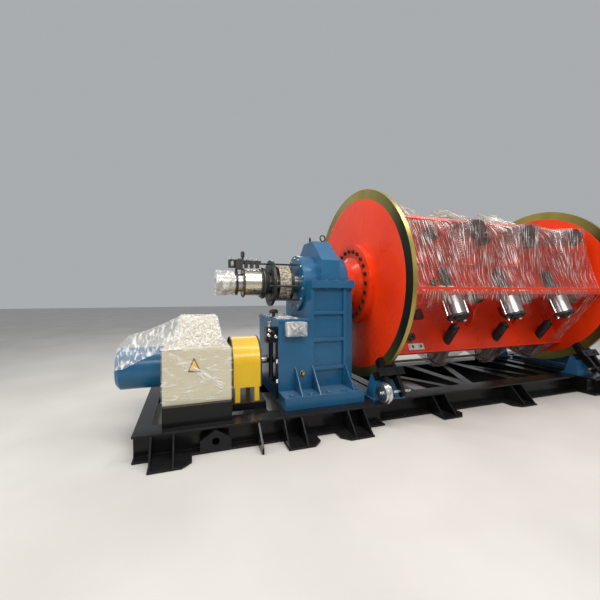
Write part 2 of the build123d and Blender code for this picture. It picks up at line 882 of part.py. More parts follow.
# Disc brakes: at each disc, one on the front and one on the rear. Two arms hang on pins between
# two tie plates, which a welded stand carries on its foot plate. An air chamber on one arm's
# lower end pulls the two together, so that their pads grip the rim. The front brake of a disc
# is modelled once, with the disc's middle plane at X = 0, and its arms lie along a radius.

disc_middles = [x + disc_thickness / 2 for x in disc_starts]
brake_places = [Location((disc_middles[0], 0, 0)), Location((disc_middles[1], 0, 0), (0, 0, 180))]
lean_sin = sin(radians(brake_lean))
lean_cos = cos(radians(brake_lean))
arm_face = disc_thickness / 2 + brake_pad_gap + brake_pad_thickness
arm_middle = arm_face + brake_arm_thickness / 2
pivot_radius = disc_radius + brake_pivot_reach
rod_place = disc_radius + brake_rod_reach
arm_tip = (disc_radius + rim_inner_radius - brake_pad_length) / 2
arm_foot = disc_radius + brake_arm_end
tie_face = brake_arm_width / 2 + brake_arm_gap
brake_half_width = tie_face + brake_tie_thickness


def brake_side_plane(offset):
    """Plane of a front brake seen along its pins: X out along the radius, Y along the machine."""
    origin = (0, offset * lean_cos, axis_height - offset * lean_sin)
    return Plane(origin=origin, x_dir=(0, -lean_sin, -lean_cos), z_dir=(0, lean_cos, -lean_sin))


def brake_cross_plane(x):
    """Plane across the machine at x, with X out along the front brake's radius."""
    return Plane(origin=(x, 0, axis_height), x_dir=(0, -lean_sin, -lean_cos), z_dir=(1, 0, 0))


def brake_point(radius, offset):
    """Y and Z of a point at a radius, moved along the pins by offset."""
    return (offset * lean_cos - radius * lean_sin, axis_height - radius * lean_cos - offset * lean_sin)


with BuildPart() as one_stand:
    with BuildSketch(upright_plane(-stand_foot_length / 2)):
        with BuildLine():
            Polyline(
                (-stand_foot_outer, base_height + brake_plate),
                (-stand_foot_inner, base_height + brake_plate),
                brake_point(pivot_radius - brake_tie_height / 2, brake_half_width + stand_head_depth),
                brake_point(pivot_radius - brake_tie_height / 2, brake_half_width),
                brake_point(pivot_radius + brake_tie_height / 2, brake_half_width),
                close=True,
            )
        make_face()
    extrude(amount=stand_foot_length)
    with BuildSketch(front_plane(0)):
        with BuildLine():
            Polyline(
                (-stand_foot_length / 2, base_height),
                (stand_foot_length / 2, base_height),
                (stand_head_length / 2, axis_height - rim_inner_radius * lean_cos),
                (-stand_head_length / 2, axis_height - rim_inner_radius * lean_cos),
                close=True,
            )
        make_face()
    extrude(amount=disc_radius, mode=Mode.INTERSECT)
    with BuildSketch(cross_plane(-stand_slot / 2)):
        Circle(disc_radius + brake_pad_gap)
    extrude(amount=stand_slot, mode=Mode.SUBTRACT)

with BuildPart() as brake_stands:
    with Locations(*brake_places):
        add(one_stand.part)
    mirror(about=Plane.XZ)
brake_stands.part.label = "brake_stands"
export_step(brake_stands.part, "parts/brake_stands.step")

with BuildPart() as brake_plates:
    with BuildSketch(Plane.XY.offset(base_height)):
        for x in disc_middles:
            with Locations((x, (brake_plate_inner + brake_plate_outer) / 2)):
                Rectangle(brake_plate_length, brake_plate_outer - brake_plate_inner)
    extrude(amount=brake_plate)
    mirror(about=Plane.XZ)
brake_plates.part.label = "brake_plates"
export_step(brake_plates.part, "parts/brake_plates.step")

with BuildPart() as one_tie_pair:
    for offset in (-brake_half_width, tie_face):
        with BuildSketch(brake_side_plane(offset)):
            with Locations((pivot_radius, 0)):
                Rectangle(brake_tie_height, brake_tie_length)
            with Locations((pivot_radius, arm_middle), (pivot_radius, -arm_middle)):
                Circle(brake_pin_radius + fit_gap, mode=Mode.SUBTRACT)
        extrude(amount=brake_tie_thickness)

with BuildPart() as brake_ties:
    with Locations(*brake_places):
        add(one_tie_pair.part)
    mirror(about=Plane.XZ)
brake_ties.part.label = "brake_ties"
export_step(brake_ties.part, "parts/brake_ties.step")

with BuildPart() as one_arm_pair:
    for end in (1, -1):
        with BuildSketch(brake_side_plane(-brake_arm_width / 2)):
            with BuildLine():
                Polyline(
                    (arm_tip, end * arm_face),
                    (arm_foot, end * arm_face),
                    (arm_foot, end * (arm_face + brake_arm_thickness - brake_arm_taper)),
                    (pivot_radius + brake_tie_height / 2, end * (arm_face + brake_arm_thickness)),
                    (pivot_radius - brake_tie_height / 2, end * (arm_face + brake_arm_thickness)),
                    (arm_tip, end * (arm_face + brake_arm_thickness - brake_arm_taper)),
                    close=True,
                )
            make_face()
            with Locations((arm_tip + brake_pad_length / 2, end * (arm_face - brake_pad_thickness / 2))):
                Rectangle(brake_pad_length, brake_pad_thickness)
        extrude(amount=brake_arm_width)
        with BuildSketch(brake_side_plane(-brake_half_width - brake_pin_head)):
            with Locations((pivot_radius, end * arm_middle)):
                Circle(brake_pin_radius)
        extrude(amount=brake_half_width + brake_arm_width / 2 + brake_pin_head)
        with BuildSketch(brake_side_plane(0)):
            with Locations((pivot_radius, end * arm_middle)):
                Circle(brake_pin_radius)
        extrude(amount=brake_half_width)
    with BuildSketch(brake_cross_plane(-arm_face - brake_arm_thickness)):
        with Locations((rod_place, 0)):
            Circle(brake_rod_radius + fit_gap)
    extrude(amount=2 * (arm_face + brake_arm_thickness), mode=Mode.SUBTRACT)

with BuildPart() as brake_arms:
    with Locations(*brake_places):
        add(one_arm_pair.part)
    mirror(about=Plane.XZ)
brake_arms.part.label = "brake_arms"
export_step(brake_arms.part, "parts/brake_arms.step")

# Each chamber is two dished shells clamped at their rims, with an air port on its outer face

chamber_face = -arm_face - brake_arm_thickness

with BuildPart() as one_chamber:
    for x, radius, length in (
        (chamber_face - chamber_shell_depth, chamber_shell_radius, chamber_shell_depth),
        (chamber_face - chamber_shell_depth - chamber_rim, chamber_radius, chamber_rim),
        (chamber_face - 2 * chamber_shell_depth - chamber_rim, chamber_shell_radius, chamber_shell_depth),
    ):
        with BuildSketch(brake_cross_plane(x)):
            with Locations((rod_place, 0)):
                Circle(radius)
        extrude(amount=length)
    port_x = chamber_face - 2 * chamber_shell_depth - chamber_rim - chamber_port_length
    for x, radius, length in (
        (port_x, chamber_port_radius, chamber_port_length),
        (chamber_face, brake_rod_radius, brake_rod_end - chamber_face),
    ):
        with BuildSketch(brake_cross_plane(x)):
            with Locations((rod_place, 0)):
                Circle(radius)
        extrude(amount=length)

with BuildPart() as brake_chambers:
    with Locations(*brake_places):
        add(one_chamber.part)
    mirror(about=Plane.XZ)
brake_chambers.part.label = "brake_chambers"
export_step(brake_chambers.part, "parts/brake_chambers.step")

# Tail pedestal with a rounded head, and its bearing cap

tail_column = axis_height - base_height - tail_foot_height

with BuildPart() as tail_pedestal:
    with BuildSketch(Plane.XY.offset(base_height)):
        with Locations((head_x + (tail_foot_start + tail_foot_end) / 2, 0)):
            Rectangle(tail_foot_end - tail_foot_start, 2 * tail_foot_half_width)
    extrude(amount=tail_foot_height)
    with BuildSketch(cross_plane(head_x + tail_post_start)):
        Circle(tail_post_half_width)
        with Locations((0, -tail_column / 2)):
            Rectangle(2 * tail_post_half_width, tail_column)
        Circle(shaft_radius + running_gap, mode=Mode.SUBTRACT)
    extrude(amount=tail_post_end - tail_post_start)
tail_pedestal.part.label = "tail_pedestal"
export_step(tail_pedestal.part, "parts/tail_pedestal.step")

with BuildPart() as tail_cap:
    with BuildSketch(cross_plane(head_x + tail_post_end)):
        Circle(tail_cap_radius)
        Circle(shaft_radius + fit_gap, mode=Mode.SUBTRACT)
    extrude(amount=tail_cap_thickness)
tail_cap.part.label = "tail_cap"
export_step(tail_cap.part, "parts/tail_cap.step")

# Base frames: pairs of long flanged beams, and cross members let in between their webs

frame_spans = {
    "drive": (-drive_base_end, -drive_cage_joint, drive_half_width, drive_cross_x),
    "cage": (-drive_cage_joint, cage_tail_joint, cage_half_width, cage_cross_x),
    "tail": (cage_tail_joint, tail_reach, tail_half_width, tail_cross_x),
}

for frame_name, (start, end, half_width, cross_places) in frame_spans.items():
    beam_y = half_width - beam_width / 2
    with BuildPart() as beams:
        with BuildSketch(upright_plane(head_x + start)):
            with Locations((beam_y, base_height / 2), (-beam_y, base_height / 2)):
                Rectangle(beam_web, base_height)
            with Locations((0, beam_flange / 2), (0, base_height - beam_flange / 2)):
                with GridLocations(2 * beam_y, 1, 2, 1):
                    Rectangle(beam_width, beam_flange)
        extrude(amount=end - start)
    beams.part.label = frame_name + "_base_beams"
    export_step(beams.part, f"parts/{frame_name}_base_beams.step")

with BuildPart() as base_cross_members:
    for start, end, half_width, cross_places in frame_spans.values():
        beam_y = half_width - beam_width / 2
        for x in cross_places:
            with BuildSketch(Plane.XY.offset(beam_flange)):
                with Locations((head_x + x, 0)):
                    Rectangle(cross_width, 2 * beam_y - beam_web)
            extrude(amount=base_height - 2 * beam_flange)
            with BuildSketch(Plane.XY.offset(base_height - beam_flange)):
                with Locations((head_x + x, 0)):
                    Rectangle(cross_width, 2 * beam_y - beam_width)
            extrude(amount=beam_flange)
base_cross_members.part.label = "base_cross_members"
export_step(base_cross_members.part, "parts/base_cross_members.step")

# Anchor feet: floor plates welded to the beams, each with two holes and two gussets

foot_places = (
    (drive_foot_x[0], drive_half_width, 1),
    (drive_foot_x[1], drive_half_width, 1),
    (drive_foot_x[2], drive_half_width, -1),
    (cage_foot_x[0], cage_half_width, 1),
    (cage_foot_x[1], cage_half_width, -1),
    (tail_foot_x, tail_half_width, 1),
)

with BuildPart() as anchor_feet:
    for place, half_width, turn in foot_places:
        foot_x = head_x + place
        for side in (1, -1):
            foot_edge = side * (half_width + foot_reach)
            with BuildSketch(Plane.XY):
                with BuildLine():
                    Polyline(
                        (foot_x - turn * foot_length / 2, side * half_width),
                        (foot_x - turn * foot_length / 2, foot_edge),
                        (foot_x + turn * (foot_length / 2 - foot_corner), foot_edge),
                        (foot_x + turn * foot_length / 2, foot_edge - side * foot_corner),
                        (foot_x + turn * foot_length / 2, side * half_width),
                        close=True,
                    )
                make_face()
                with Locations((foot_x, foot_edge - side * foot_hole_inset)):
                    with GridLocations(foot_hole_spacing, 1, 2, 1):
                        Circle(foot_hole_radius, mode=Mode.SUBTRACT)
            extrude(amount=foot_thickness)
anchor_feet.part.label = "anchor_feet"
export_step(anchor_feet.part, "parts/anchor_feet.step")

with BuildPart() as foot_gussets:
    for place, half_width, turn in foot_places:
        web_y = half_width - beam_width / 2 + beam_web / 2
        gusset_tip = half_width + foot_reach - gusset_inset
        for offset in (-turn * gusset_far, turn * gusset_near):
            with BuildSketch(upright_plane(head_x + place + offset - gusset_thickness / 2)):
                for side in (1, -1):
                    with BuildLine():
                        Polyline(
                            (side * web_y, beam_flange),
                            (side * gusset_tip, foot_thickness),
                            (side * half_width, base_height - beam_flange),
                            (side * web_y, base_height - beam_flange),
                            close=True,
                        )
                    make_face()
            extrude(amount=gusset_thickness)
foot_gussets.part.label = "foot_gussets"
export_step(foot_gussets.part, "parts/foot_gussets.step")

# Side lugs of the drive base: plates across the beams that reach down to the floor

with BuildPart() as side_lugs:
    web_y = drive_half_width - beam_width / 2 + beam_web / 2
    lug_tip = drive_half_width + foot_reach - gusset_inset
    with BuildSketch(upright_plane(head_x - side_lug_place - side_lug_thickness / 2)):
        for side in (1, -1):
            with BuildLine():
                Polyline(
                    (side * web_y, beam_flange),
                    (side * drive_half_width, beam_flange),
                    (side * drive_half_width, 0),
                    (side * lug_tip, 0),
                    (side * lug_tip, side_lug_tip_height),
                    (side * drive_half_width, base_height - beam_flange),
                    (side * web_y, base_height - beam_flange),
                    close=True,
                )
            make_face()
            with Locations((side * (drive_half_width + side_lug_hole_reach), side_lug_hole_z)):
                Circle(side_lug_hole_radius, mode=Mode.SUBTRACT)
    extrude(amount=side_lug_thickness)
side_lugs.part.label = "side_lugs"
export_step(side_lugs.part, "parts/side_lugs.step")

# Lifting lugs: gabled plates on the lower flanges of the drive base, with a shackle hole

lug_x = head_x - lug_place

with BuildPart() as lifting_lugs:
    for lug_y in (drive_half_width, -drive_half_width + lug_thickness):
        with BuildSketch(front_plane(lug_y)):
            with BuildLine():
                Polyline(
                    (lug_x - lug_width / 2, beam_flange),
                    (lug_x + lug_width / 2, beam_flange),
                    (lug_x + lug_width / 2, lug_shoulder),
                    (lug_x, lug_peak),
                    (lug_x - lug_width / 2, lug_shoulder),
                    close=True,
                )
            make_face()
            with Locations((lug_x, lug_hole_z)):
                Circle(lug_hole_radius, mode=Mode.SUBTRACT)
        extrude(amount=lug_thickness)
lifting_lugs.part.label = "lifting_lugs"
export_step(lifting_lugs.part, "parts/lifting_lugs.step")

# Flat diagonal braces between the cross members of the cage base

brace_bays = list(zip(cage_cross_x[2:], cage_cross_x[3:]))
brace_end_y = cage_half_width - beam_width / 2 - beam_web / 2
brace_z = base_height - 2 * beam_flange - brace_thickness

with BuildPart() as cage_braces:
    for index, (start, end) in enumerate(brace_bays):
        near = head_x + start + cross_width / 2
        far = head_x + end - cross_width / 2
        turn = 1 if index % 2 else -1
        with BuildSketch(Plane.XY.offset(brace_z)):
            with BuildLine():
                Polyline(
                    (near, -turn * brace_end_y),
                    (near + brace_width, -turn * brace_end_y),
                    (far, turn * (brace_end_y - brace_width)),
                    (far, turn * brace_end_y),
                    (far - brace_width, turn * brace_end_y),
                    (near, -turn * (brace_end_y - brace_width)),
                    close=True,
                )
            make_face()
        extrude(amount=brace_thickness)
cage_braces.part.label = "cage_braces"
export_step(cage_braces.part, "parts/cage_braces.step")

# Conduit along the rear beam of the cage base, in three clamps that stand on the beam

conduit_y = cage_half_width - beam_width / 2
conduit_z = base_height + conduit_height
clamp_height = conduit_height + conduit_radius + clamp_wall
clamp_places = (conduit_start + clamp_inset, (conduit_start + conduit_end) / 2, conduit_end - clamp_inset)

with BuildPart() as rear_conduit:
    with BuildSketch(upright_plane(head_x + conduit_start)):
        with Locations((conduit_y, conduit_z)):
            Circle(conduit_radius)
    extrude(amount=conduit_end - conduit_start)
rear_conduit.part.label = "rear_conduit"
export_step(rear_conduit.part, "parts/rear_conduit.step")

with BuildPart() as conduit_clamps:
    for place in clamp_places:
        with BuildSketch(upright_plane(head_x + place - clamp_length / 2)):
            with Locations((conduit_y, base_height + clamp_height / 2)):
                Rectangle(2 * (conduit_radius + clamp_wall), clamp_height)
            with Locations((conduit_y, conduit_z)):
                Circle(conduit_radius + fit_gap, mode=Mode.SUBTRACT)
        extrude(amount=clamp_length)
conduit_clamps.part.label = "conduit_clamps"
export_step(conduit_clamps.part, "parts/conduit_clamps.step")

# Two lifting eyes on the upper housing's roof

eye_x = (head_x - ridge_start + eye_inset, head_x - ridge_end - eye_inset)
roof_z = axis_height + ridge_top

with BuildPart() as lifting_eyes:
    with BuildSketch(Plane.XY.offset(roof_z)):
        with Locations((eye_x[0], eye_y), (eye_x[1], -eye_y)):
            Circle(eye_shank)
    extrude(amount=eye_shank_height)
    for x, y, turn in ((eye_x[0], eye_y, eye_turns[0]), (eye_x[1], -eye_y, eye_turns[1])):
        ring_z = roof_z + eye_shank_height + eye_radius - eye_wire / 2
        ring_turn = radians(turn)
        ring_plane = Plane(
            origin=(x, y, ring_z), x_dir=(cos(ring_turn), sin(ring_turn), 0), z_dir=(0, 0, 1)
        )
        with BuildSketch(ring_plane):
            with Locations((eye_radius, 0)):
                RegularPolygon(eye_wire, eye_wire_sides)
        revolve(axis=Axis((x, y, ring_z), ring_plane.y_dir))
lifting_eyes.part.label = "lifting_eyes"
export_step(lifting_eyes.part, "parts/lifting_eyes.step")

# Junction box on the speed gearbox's front, and the oil pump with its pipe on the outer face

with BuildPart() as junction_box:
    with BuildSketch(front_plane(-box_half_width)):
        with Locations((head_x - junction_place, speed_box_top - junction_drop)):
            RectangleRounded(junction_width, junction_height, junction_corner)
    extrude(amount=junction_depth)
junction_box.part.label = "junction_box"
export_step(junction_box.part, "parts/junction_box.step")

pump_x = head_x - speed_box_start - pump_depth

with BuildPart() as oil_pump:
    with BuildSketch(upright_plane(pump_x)):
        with Locations((pump_y, pump_z)):
            Rectangle(pump_width, pump_height)
    extrude(amount=pump_depth)
    with BuildSketch(Plane.XY.offset(pipe_bottom_z)):
        with Locations((pump_x + pump_depth / 2, pump_y)):
            Circle(pipe_radius)
    extrude(amount=pump_z - pipe_bottom_z)
    with BuildSketch(upright_plane(pump_x + pump_depth / 2 - pipe_radius)):
        with Locations((pump_y, pipe_bottom_z + pipe_radius)):
            Circle(pipe_radius)
    extrude(amount=pump_depth / 2 + pipe_radius)
oil_pump.part.label = "oil_pump"
export_step(oil_pump.part, "parts/oil_pump.step")
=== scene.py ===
from math import cos, hypot, pi, radians, sin

import bmesh
import bpy
from mathutils import Matrix, Vector, noise


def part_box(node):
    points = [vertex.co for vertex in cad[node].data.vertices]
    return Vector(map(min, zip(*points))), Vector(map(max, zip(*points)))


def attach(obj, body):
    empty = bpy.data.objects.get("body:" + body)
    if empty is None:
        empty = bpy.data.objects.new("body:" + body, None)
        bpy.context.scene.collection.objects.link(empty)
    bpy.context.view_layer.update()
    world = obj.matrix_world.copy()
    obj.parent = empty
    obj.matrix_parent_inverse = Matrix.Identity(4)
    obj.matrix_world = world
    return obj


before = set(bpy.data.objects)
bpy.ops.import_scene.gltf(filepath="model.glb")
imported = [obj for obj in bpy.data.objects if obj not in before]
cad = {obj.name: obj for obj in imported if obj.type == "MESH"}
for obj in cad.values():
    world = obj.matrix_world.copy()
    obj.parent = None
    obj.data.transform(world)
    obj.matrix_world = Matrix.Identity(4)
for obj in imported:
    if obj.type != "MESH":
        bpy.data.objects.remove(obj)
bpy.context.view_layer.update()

# Studio floor and light: a plain floor of pale troweled concrete. The light comes from long
# softboxes overhead, one at the drive's end and one at the back, and a large key in front.


def add_node(tree, kind, inputs=None, **settings):
    """A shader node whose inputs are values or the sockets that feed them."""
    made = tree.nodes.new(kind)
    for key, value in settings.items():
        setattr(made, key, value)
    for key, value in (inputs or {}).items():
        if isinstance(value, bpy.types.NodeSocket):
            tree.links.new(value, made.inputs[key])
        else:
            made.inputs[key].default_value = value
    return made


def new_finish(name):
    """An empty material: its node tree and its main shader."""
    made = bpy.data.materials.new(name)
    made.use_nodes = True
    tree = made.node_tree
    return made, tree, tree.nodes["Principled BSDF"]


def fade(tree, value, start, end, low=0.0, high=1.0):
    """Goes from low to high while the value that feeds it goes from start to end."""
    return add_node(tree, "ShaderNodeMapRange", {"Value": value, "From Min": start, "From Max": end,
                    "To Min": low, "To Max": high}).outputs[0]


def place_on(tree, source="Object"):
    """The place on the piece, in metres."""
    return add_node(tree, "ShaderNodeTexCoord").outputs[source]


def cloudy(tree, place, stretch, scale, detail, twist=0.0):
    """Cloudy pattern, stretched along the axes."""
    spread = add_node(tree, "ShaderNodeMapping", {"Vector": place, "Scale": stretch}).outputs[0]
    return add_node(tree, "ShaderNodeTexNoise", {"Vector": spread, "Scale": scale, "Detail": detail,
                    "Distortion": twist}).outputs["Fac"]


def blotches(tree, scale, low, high, detail=4.0, stretch=(1, 1, 1), source="Object"):
    """Cloudy variation between two values."""
    return fade(tree, cloudy(tree, place_on(tree, source), stretch, scale, detail), 0.3, 0.7, low, high)


def mix_colour(tree, share, first, second):
    """A colour between two, by a share that varies over the surface."""
    made = tree.nodes.new("ShaderNodeMix")
    made.data_type = "RGBA"
    for socket, value in ((made.inputs[0], share), (made.inputs[6], first), (made.inputs[7], second)):
        if isinstance(value, bpy.types.NodeSocket):
            tree.links.new(value, socket)
        else:
            socket.default_value = (*value, 1)
    return made.outputs[2]


def relief(tree, height, strength, depth, over=None):
    """Fine relief in the surface, on top of its own normal or of another one."""
    inputs = {"Height": height, "Strength": strength, "Distance": depth}
    if over is not None:
        inputs["Normal"] = over
    return add_node(tree, "ShaderNodeBump", inputs).outputs[0]


floor_half, floor_level = 30, -0.001
pale_grey, light_grey = (0.50, 0.487, 0.458), (0.58, 0.566, 0.535)
concrete, tree, shader = new_finish("troweled_concrete")
tree.links.new(mix_colour(tree, blotches(tree, 0.9, 0.0, 1.0, 6.0), pale_grey, light_grey),
               shader.inputs["Base Color"])
tree.links.new(blotches(tree, 2.3, 0.45, 0.62), shader.inputs["Roughness"])
tree.links.new(relief(tree, blotches(tree, 60, 0.0, 1.0), 0.12, 0.002), shader.inputs["Normal"])

floor_mesh = bmesh.new()
bmesh.ops.create_grid(floor_mesh, x_segments=8, y_segments=8, size=floor_half)
data = bpy.data.meshes.new("workshop_floor")
floor_mesh.to_mesh(data)
floor_mesh.free()
floor = bpy.data.objects.new("workshop_floor", data)
floor.location.z = floor_level
bpy.context.collection.objects.link(floor)
data.materials.append(concrete)

world = bpy.data.worlds.new("studio")
world.use_nodes = True
world.node_tree.nodes["Background"].inputs["Color"].default_value = (0.80, 0.83, 0.86, 1)
world.node_tree.nodes["Background"].inputs["Strength"].default_value = 0.50
bpy.context.scene.world = world
bpy.context.scene.view_settings.view_transform = "Standard"

warm_white = (1.0, 0.97, 0.93)
for name, place, aim, size, power in (
    ("softbox_front", (-1.5, -6.5, 5.2), (0.3, 0, 1.0), (5.0, 1.6), 270),
    ("softbox_roof_left", (-2.2, -1.2, 5.8), (-1.2, 0, 1.0), (5.5, 0.7), 185),
    ("softbox_roof_right", (2.4, -1.0, 5.8), (1.2, 0, 1.0), (5.5, 0.7), 185),
    ("softbox_window", (-7.5, -1.5, 2.6), (0, 0, 1.2), (3.0, 3.0), 150),
    ("softbox_rear", (1.0, 6.5, 4.6), (0.5, 0, 1.2), (6.0, 1.6), 150),
):
    lamp = bpy.data.lights.new(name, "AREA")
    lamp.shape = "RECTANGLE"
    lamp.size, lamp.size_y = size
    lamp.energy = power
    lamp.color = warm_white
    holder = bpy.data.objects.new(name, lamp)
    holder.location = place
    holder.rotation_euler = (Vector(aim) - Vector(place)).to_track_quat("-Z", "Y").to_euler()
    bpy.context.collection.objects.link(holder)

# Camera: it stands at eye level in front of the machine, level with the drive, and looks a little
# towards the tail, as the photograph does.

lens_mm, sensor_mm = 19.262, 36
eye_place = (-2.5566, -3.3836, 1.25)
tilt_down, turned_right = 1.083, 19.13

lens = bpy.data.cameras.new("operator_side")
lens.lens = lens_mm
lens.sensor_width = sensor_mm
camera = bpy.data.objects.new("operator_side", lens)
camera.location = eye_place
camera.rotation_euler = (radians(90 - tilt_down), 0, radians(-turned_right))
bpy.context.collection.objects.link(camera)
bpy.context.scene.camera = camera

# Cage plates: head and tail discs, hubs, core, webs, corner bands and diaphragms. They are flame-cut
# steel, welded and sprayed in orange-red two-pack paint, with a fine orange peel and dust on top.

edge_radius, peel_strength = 0.004, 0.10
dust_colour = (0.45, 0.42, 0.38)


def work_out(tree, operation, first, second):
    """Sum, product or other result of two values that vary over the surface."""
    return add_node(tree, "ShaderNodeMath", {0: first, 1: second}, operation=operation).outputs[0]


def rounded_edges(tree, radius):
    """A normal that catches the light along the edges."""
    return add_node(tree, "ShaderNodeBevel", {"Radius": radius}, samples=4).outputs[0]


def painted(name, dark, light, gloss=0.30, dust=0.18, chip=(0.30, 0.28, 0.26), wear=0.25, shine=0.32,
            lacquer=0.20):
    """Sprayed paint: cloudy tone, orange peel, worn edges and dust where it faces up."""
    made, tree, shader = new_finish(name)
    tone = mix_colour(tree, blotches(tree, 1.7, 0.0, 1.0, 5.0), dark, light)
    soft = rounded_edges(tree, edge_radius)
    geometry = add_node(tree, "ShaderNodeNewGeometry")
    along = add_node(tree, "ShaderNodeVectorMath", {0: soft, 1: geometry.outputs["True Normal"]},
                     operation="DOT_PRODUCT").outputs["Value"]
    edge = fade(tree, along, 0.98, 0.86, 0.0, wear)
    tone = mix_colour(tree, work_out(tree, "MULTIPLY", edge, blotches(tree, 23, 0.0, 1.0)), tone, chip)
    up = add_node(tree, "ShaderNodeSeparateXYZ", {0: geometry.outputs["Normal"]}).outputs["Z"]
    lying = fade(tree, up, 0.55, 1.0, 0.0, dust)
    lying = work_out(tree, "MULTIPLY", lying, blotches(tree, 9, 0.4, 1.3))
    tree.links.new(mix_colour(tree, lying, tone, dust_colour), shader.inputs["Base Color"])
    tree.links.new(work_out(tree, "ADD", blotches(tree, 5, gloss - 0.06, gloss + 0.08), lying),
                   shader.inputs["Roughness"])
    tree.links.new(relief(tree, blotches(tree, 130, 0.0, 1.0, 2.0), peel_strength, 0.002, soft),
                   shader.inputs["Normal"])
    shader.inputs["Specular IOR Level"].default_value = shine
    shader.inputs["Coat Weight"].default_value = lacquer
    shader.inputs["Coat Roughness"].default_value = 0.12
    return made


def finish_nodes(finish, *names):
    """Gives carried-over pieces their finish."""
    for name in names:
        slots = cad[name].data.materials
        slots.clear()
        slots.append(finish)


orange_paint = painted("orange_paint", (0.62, 0.024, 0.002), (0.78, 0.044, 0.003))
finish_nodes(orange_paint, "cage_discs", "head_hub", "tail_hub", "cage_core", "cage_webs",
             "corner_bands", "diaphragms")

# Brake rims: turned steel rings on both discs, plated yellow, and the turning marks run round them. The
# colour holds painted reflections: olive and gold bands round the ring, a painted dark reflection on the
# front part and a painted highlight on the outer face.

axis_height = 1.366
head_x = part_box("cage_discs")[0].x
# Olive and gold are the two tones of the painted reflection bands round the ring.
olive, gold = (0.20, 0.17, 0.035), (0.46, 0.37, 0.10)
# Dark olive is a painted dark reflection on the ring's front part; edge gold is a painted highlight.
dark_reflection_olive, edge_highlight_gold = (0.028, 0.032, 0.020), (0.42, 0.33, 0.09)
rim_edge = (1.0655, 1.0675)

rim_finish, tree, shader = new_finish("yellow_plated_steel")
parts = add_node(tree, "ShaderNodeSeparateXYZ", {0: place_on(tree)})
level = work_out(tree, "SUBTRACT", parts.outputs["Z"], axis_height)
angle = work_out(tree, "ARCTAN2", level, parts.outputs["Y"])
flat = add_node(tree, "ShaderNodeCombineXYZ", {0: parts.outputs["Y"], 1: level}).outputs[0]
reach = add_node(tree, "ShaderNodeVectorMath", {0: flat}, operation="LENGTH").outputs["Value"]
ring = add_node(tree, "ShaderNodeCombineXYZ", {0: angle, 1: reach}).outputs[0]
marks = cloudy(tree, ring, (1.5, 900, 1), 1.0, 3.0)
# Painted reflection: broad olive and gold bands round the ring, in place of the roof mirrored in it.
bars = fade(tree, cloudy(tree, ring, (2.2, 0.5, 1), 1.0, 2.0), 0.25, 0.75)
plating_and_reflections = mix_colour(tree, bars, olive, gold)
# Painted dark reflection: the ring's front part, towards negative Y, is painted dark olive.
plating_and_reflections = mix_colour(tree, fade(tree, parts.outputs["Y"], -0.92, -0.42), dark_reflection_olive, plating_and_reflections)
# Painted highlight: the rim's outer face is painted gold.
tree.links.new(mix_colour(tree, fade(tree, reach, *rim_edge), plating_and_reflections, edge_highlight_gold),
               shader.inputs["Base Color"])
tree.links.new(fade(tree, marks, 0.0, 1.0, 0.24, 0.5), shader.inputs["Roughness"])
tree.links.new(relief(tree, marks, strength=0.25, depth=0.001), shader.inputs["Normal"])
shader.inputs["Metallic"].default_value = 0.9
shader.inputs["Anisotropic"].default_value = 0.5
finish_nodes(rim_finish, "brake_rims")

# Bobbin pintles and shafts: blackened discs, heads and quills, ground and polished clamp cylinders
# with black end plates, and hard-chromed rods. The brush frame is blackened as well.


def metal(name, dark, light, rough, stretch=(1, 1, 1), scale=40, marked=0.05, metallic=1.0):
    """Bare or coated metal with its machining marks."""
    made, tree, shader = new_finish(name)
    soft = rounded_edges(tree, 0.002)
    marks = blotches(tree, scale, 0.0, 1.0, 3.0, stretch)
    tree.links.new(mix_colour(tree, blotches(tree, 4, 0.0, 1.0), dark, light),
                   shader.inputs["Base Color"])
    tree.links.new(fade(tree, marks, 0.0, 1.0, *rough), shader.inputs["Roughness"])
    tree.links.new(relief(tree, marks, strength=marked, depth=0.001, over=soft), shader.inputs["Normal"])
    shader.inputs["Metallic"].default_value = metallic
    return made


black_oxide = metal("black_oxide", (0.012, 0.012, 0.013), (0.035, 0.034, 0.033), (0.30, 0.5),
                    metallic=0.4)
ground_steel = metal("ground_steel", (0.30, 0.29, 0.28), (0.46, 0.45, 0.44), (0.24, 0.38), (6, 1, 1), 90)
chrome = metal("hard_chrome", (0.80, 0.80, 0.81), (0.90, 0.90, 0.91), (0.05, 0.10), marked=0.02)
finish_nodes(black_oxide, "pintle_discs", "pintle_heads", "pintle_quills", "cylinder_plates",
             "brush_frame")
finish_nodes(ground_steel, "clamp_cylinders", "main_shaft", "input_coupling")
finish_nodes(chrome, "clamp_rods")

# Gearboxes, brake stands and tail pedestal: welded plate and castings, filled and sprayed blue. The
# motor and the junction box have the same paint.

blue_paint = painted("blue_paint", (0.008, 0.075, 0.165), (0.012, 0.105, 0.220), dust=0.10)
finish_nodes(blue_paint, "gear_housing_lower", "gear_housing_upper", "bearing_caps", "speed_gearbox",
             "speed_gearbox_lid", "brake_stands", "brake_plates", "tail_pedestal", "tail_cap", "motor",
             "junction_box")

# Base frames: rolled beams with plate feet, gussets and lugs, welded and painted gloss black. The
# brakes' arms and ties, the oil pump, the lifting eyes and the conduit's clamps are black too.

black_paint = painted("black_paint", (0.004, 0.004, 0.005), (0.008, 0.008, 0.009), gloss=0.20,
                      dust=0.012, chip=(0.10, 0.09, 0.08), wear=0.5, shine=0.18, lacquer=0.08)
finish_nodes(black_paint, "drive_base_beams", "cage_base_beams", "tail_base_beams",
             "base_cross_members", "anchor_feet", "foot_gussets", "side_lugs", "lifting_lugs",
             "cage_braces", "motor_pedestal", "coupling_seat", "conduit_clamps", "lifting_eyes",
             "oil_pump", "brake_ties", "brake_arms")

# Guards: bent sheet steel, sprayed yellow over the coupling and beige over the motor. A black rubber
# trim is pressed on both rims of the coupling's arch.

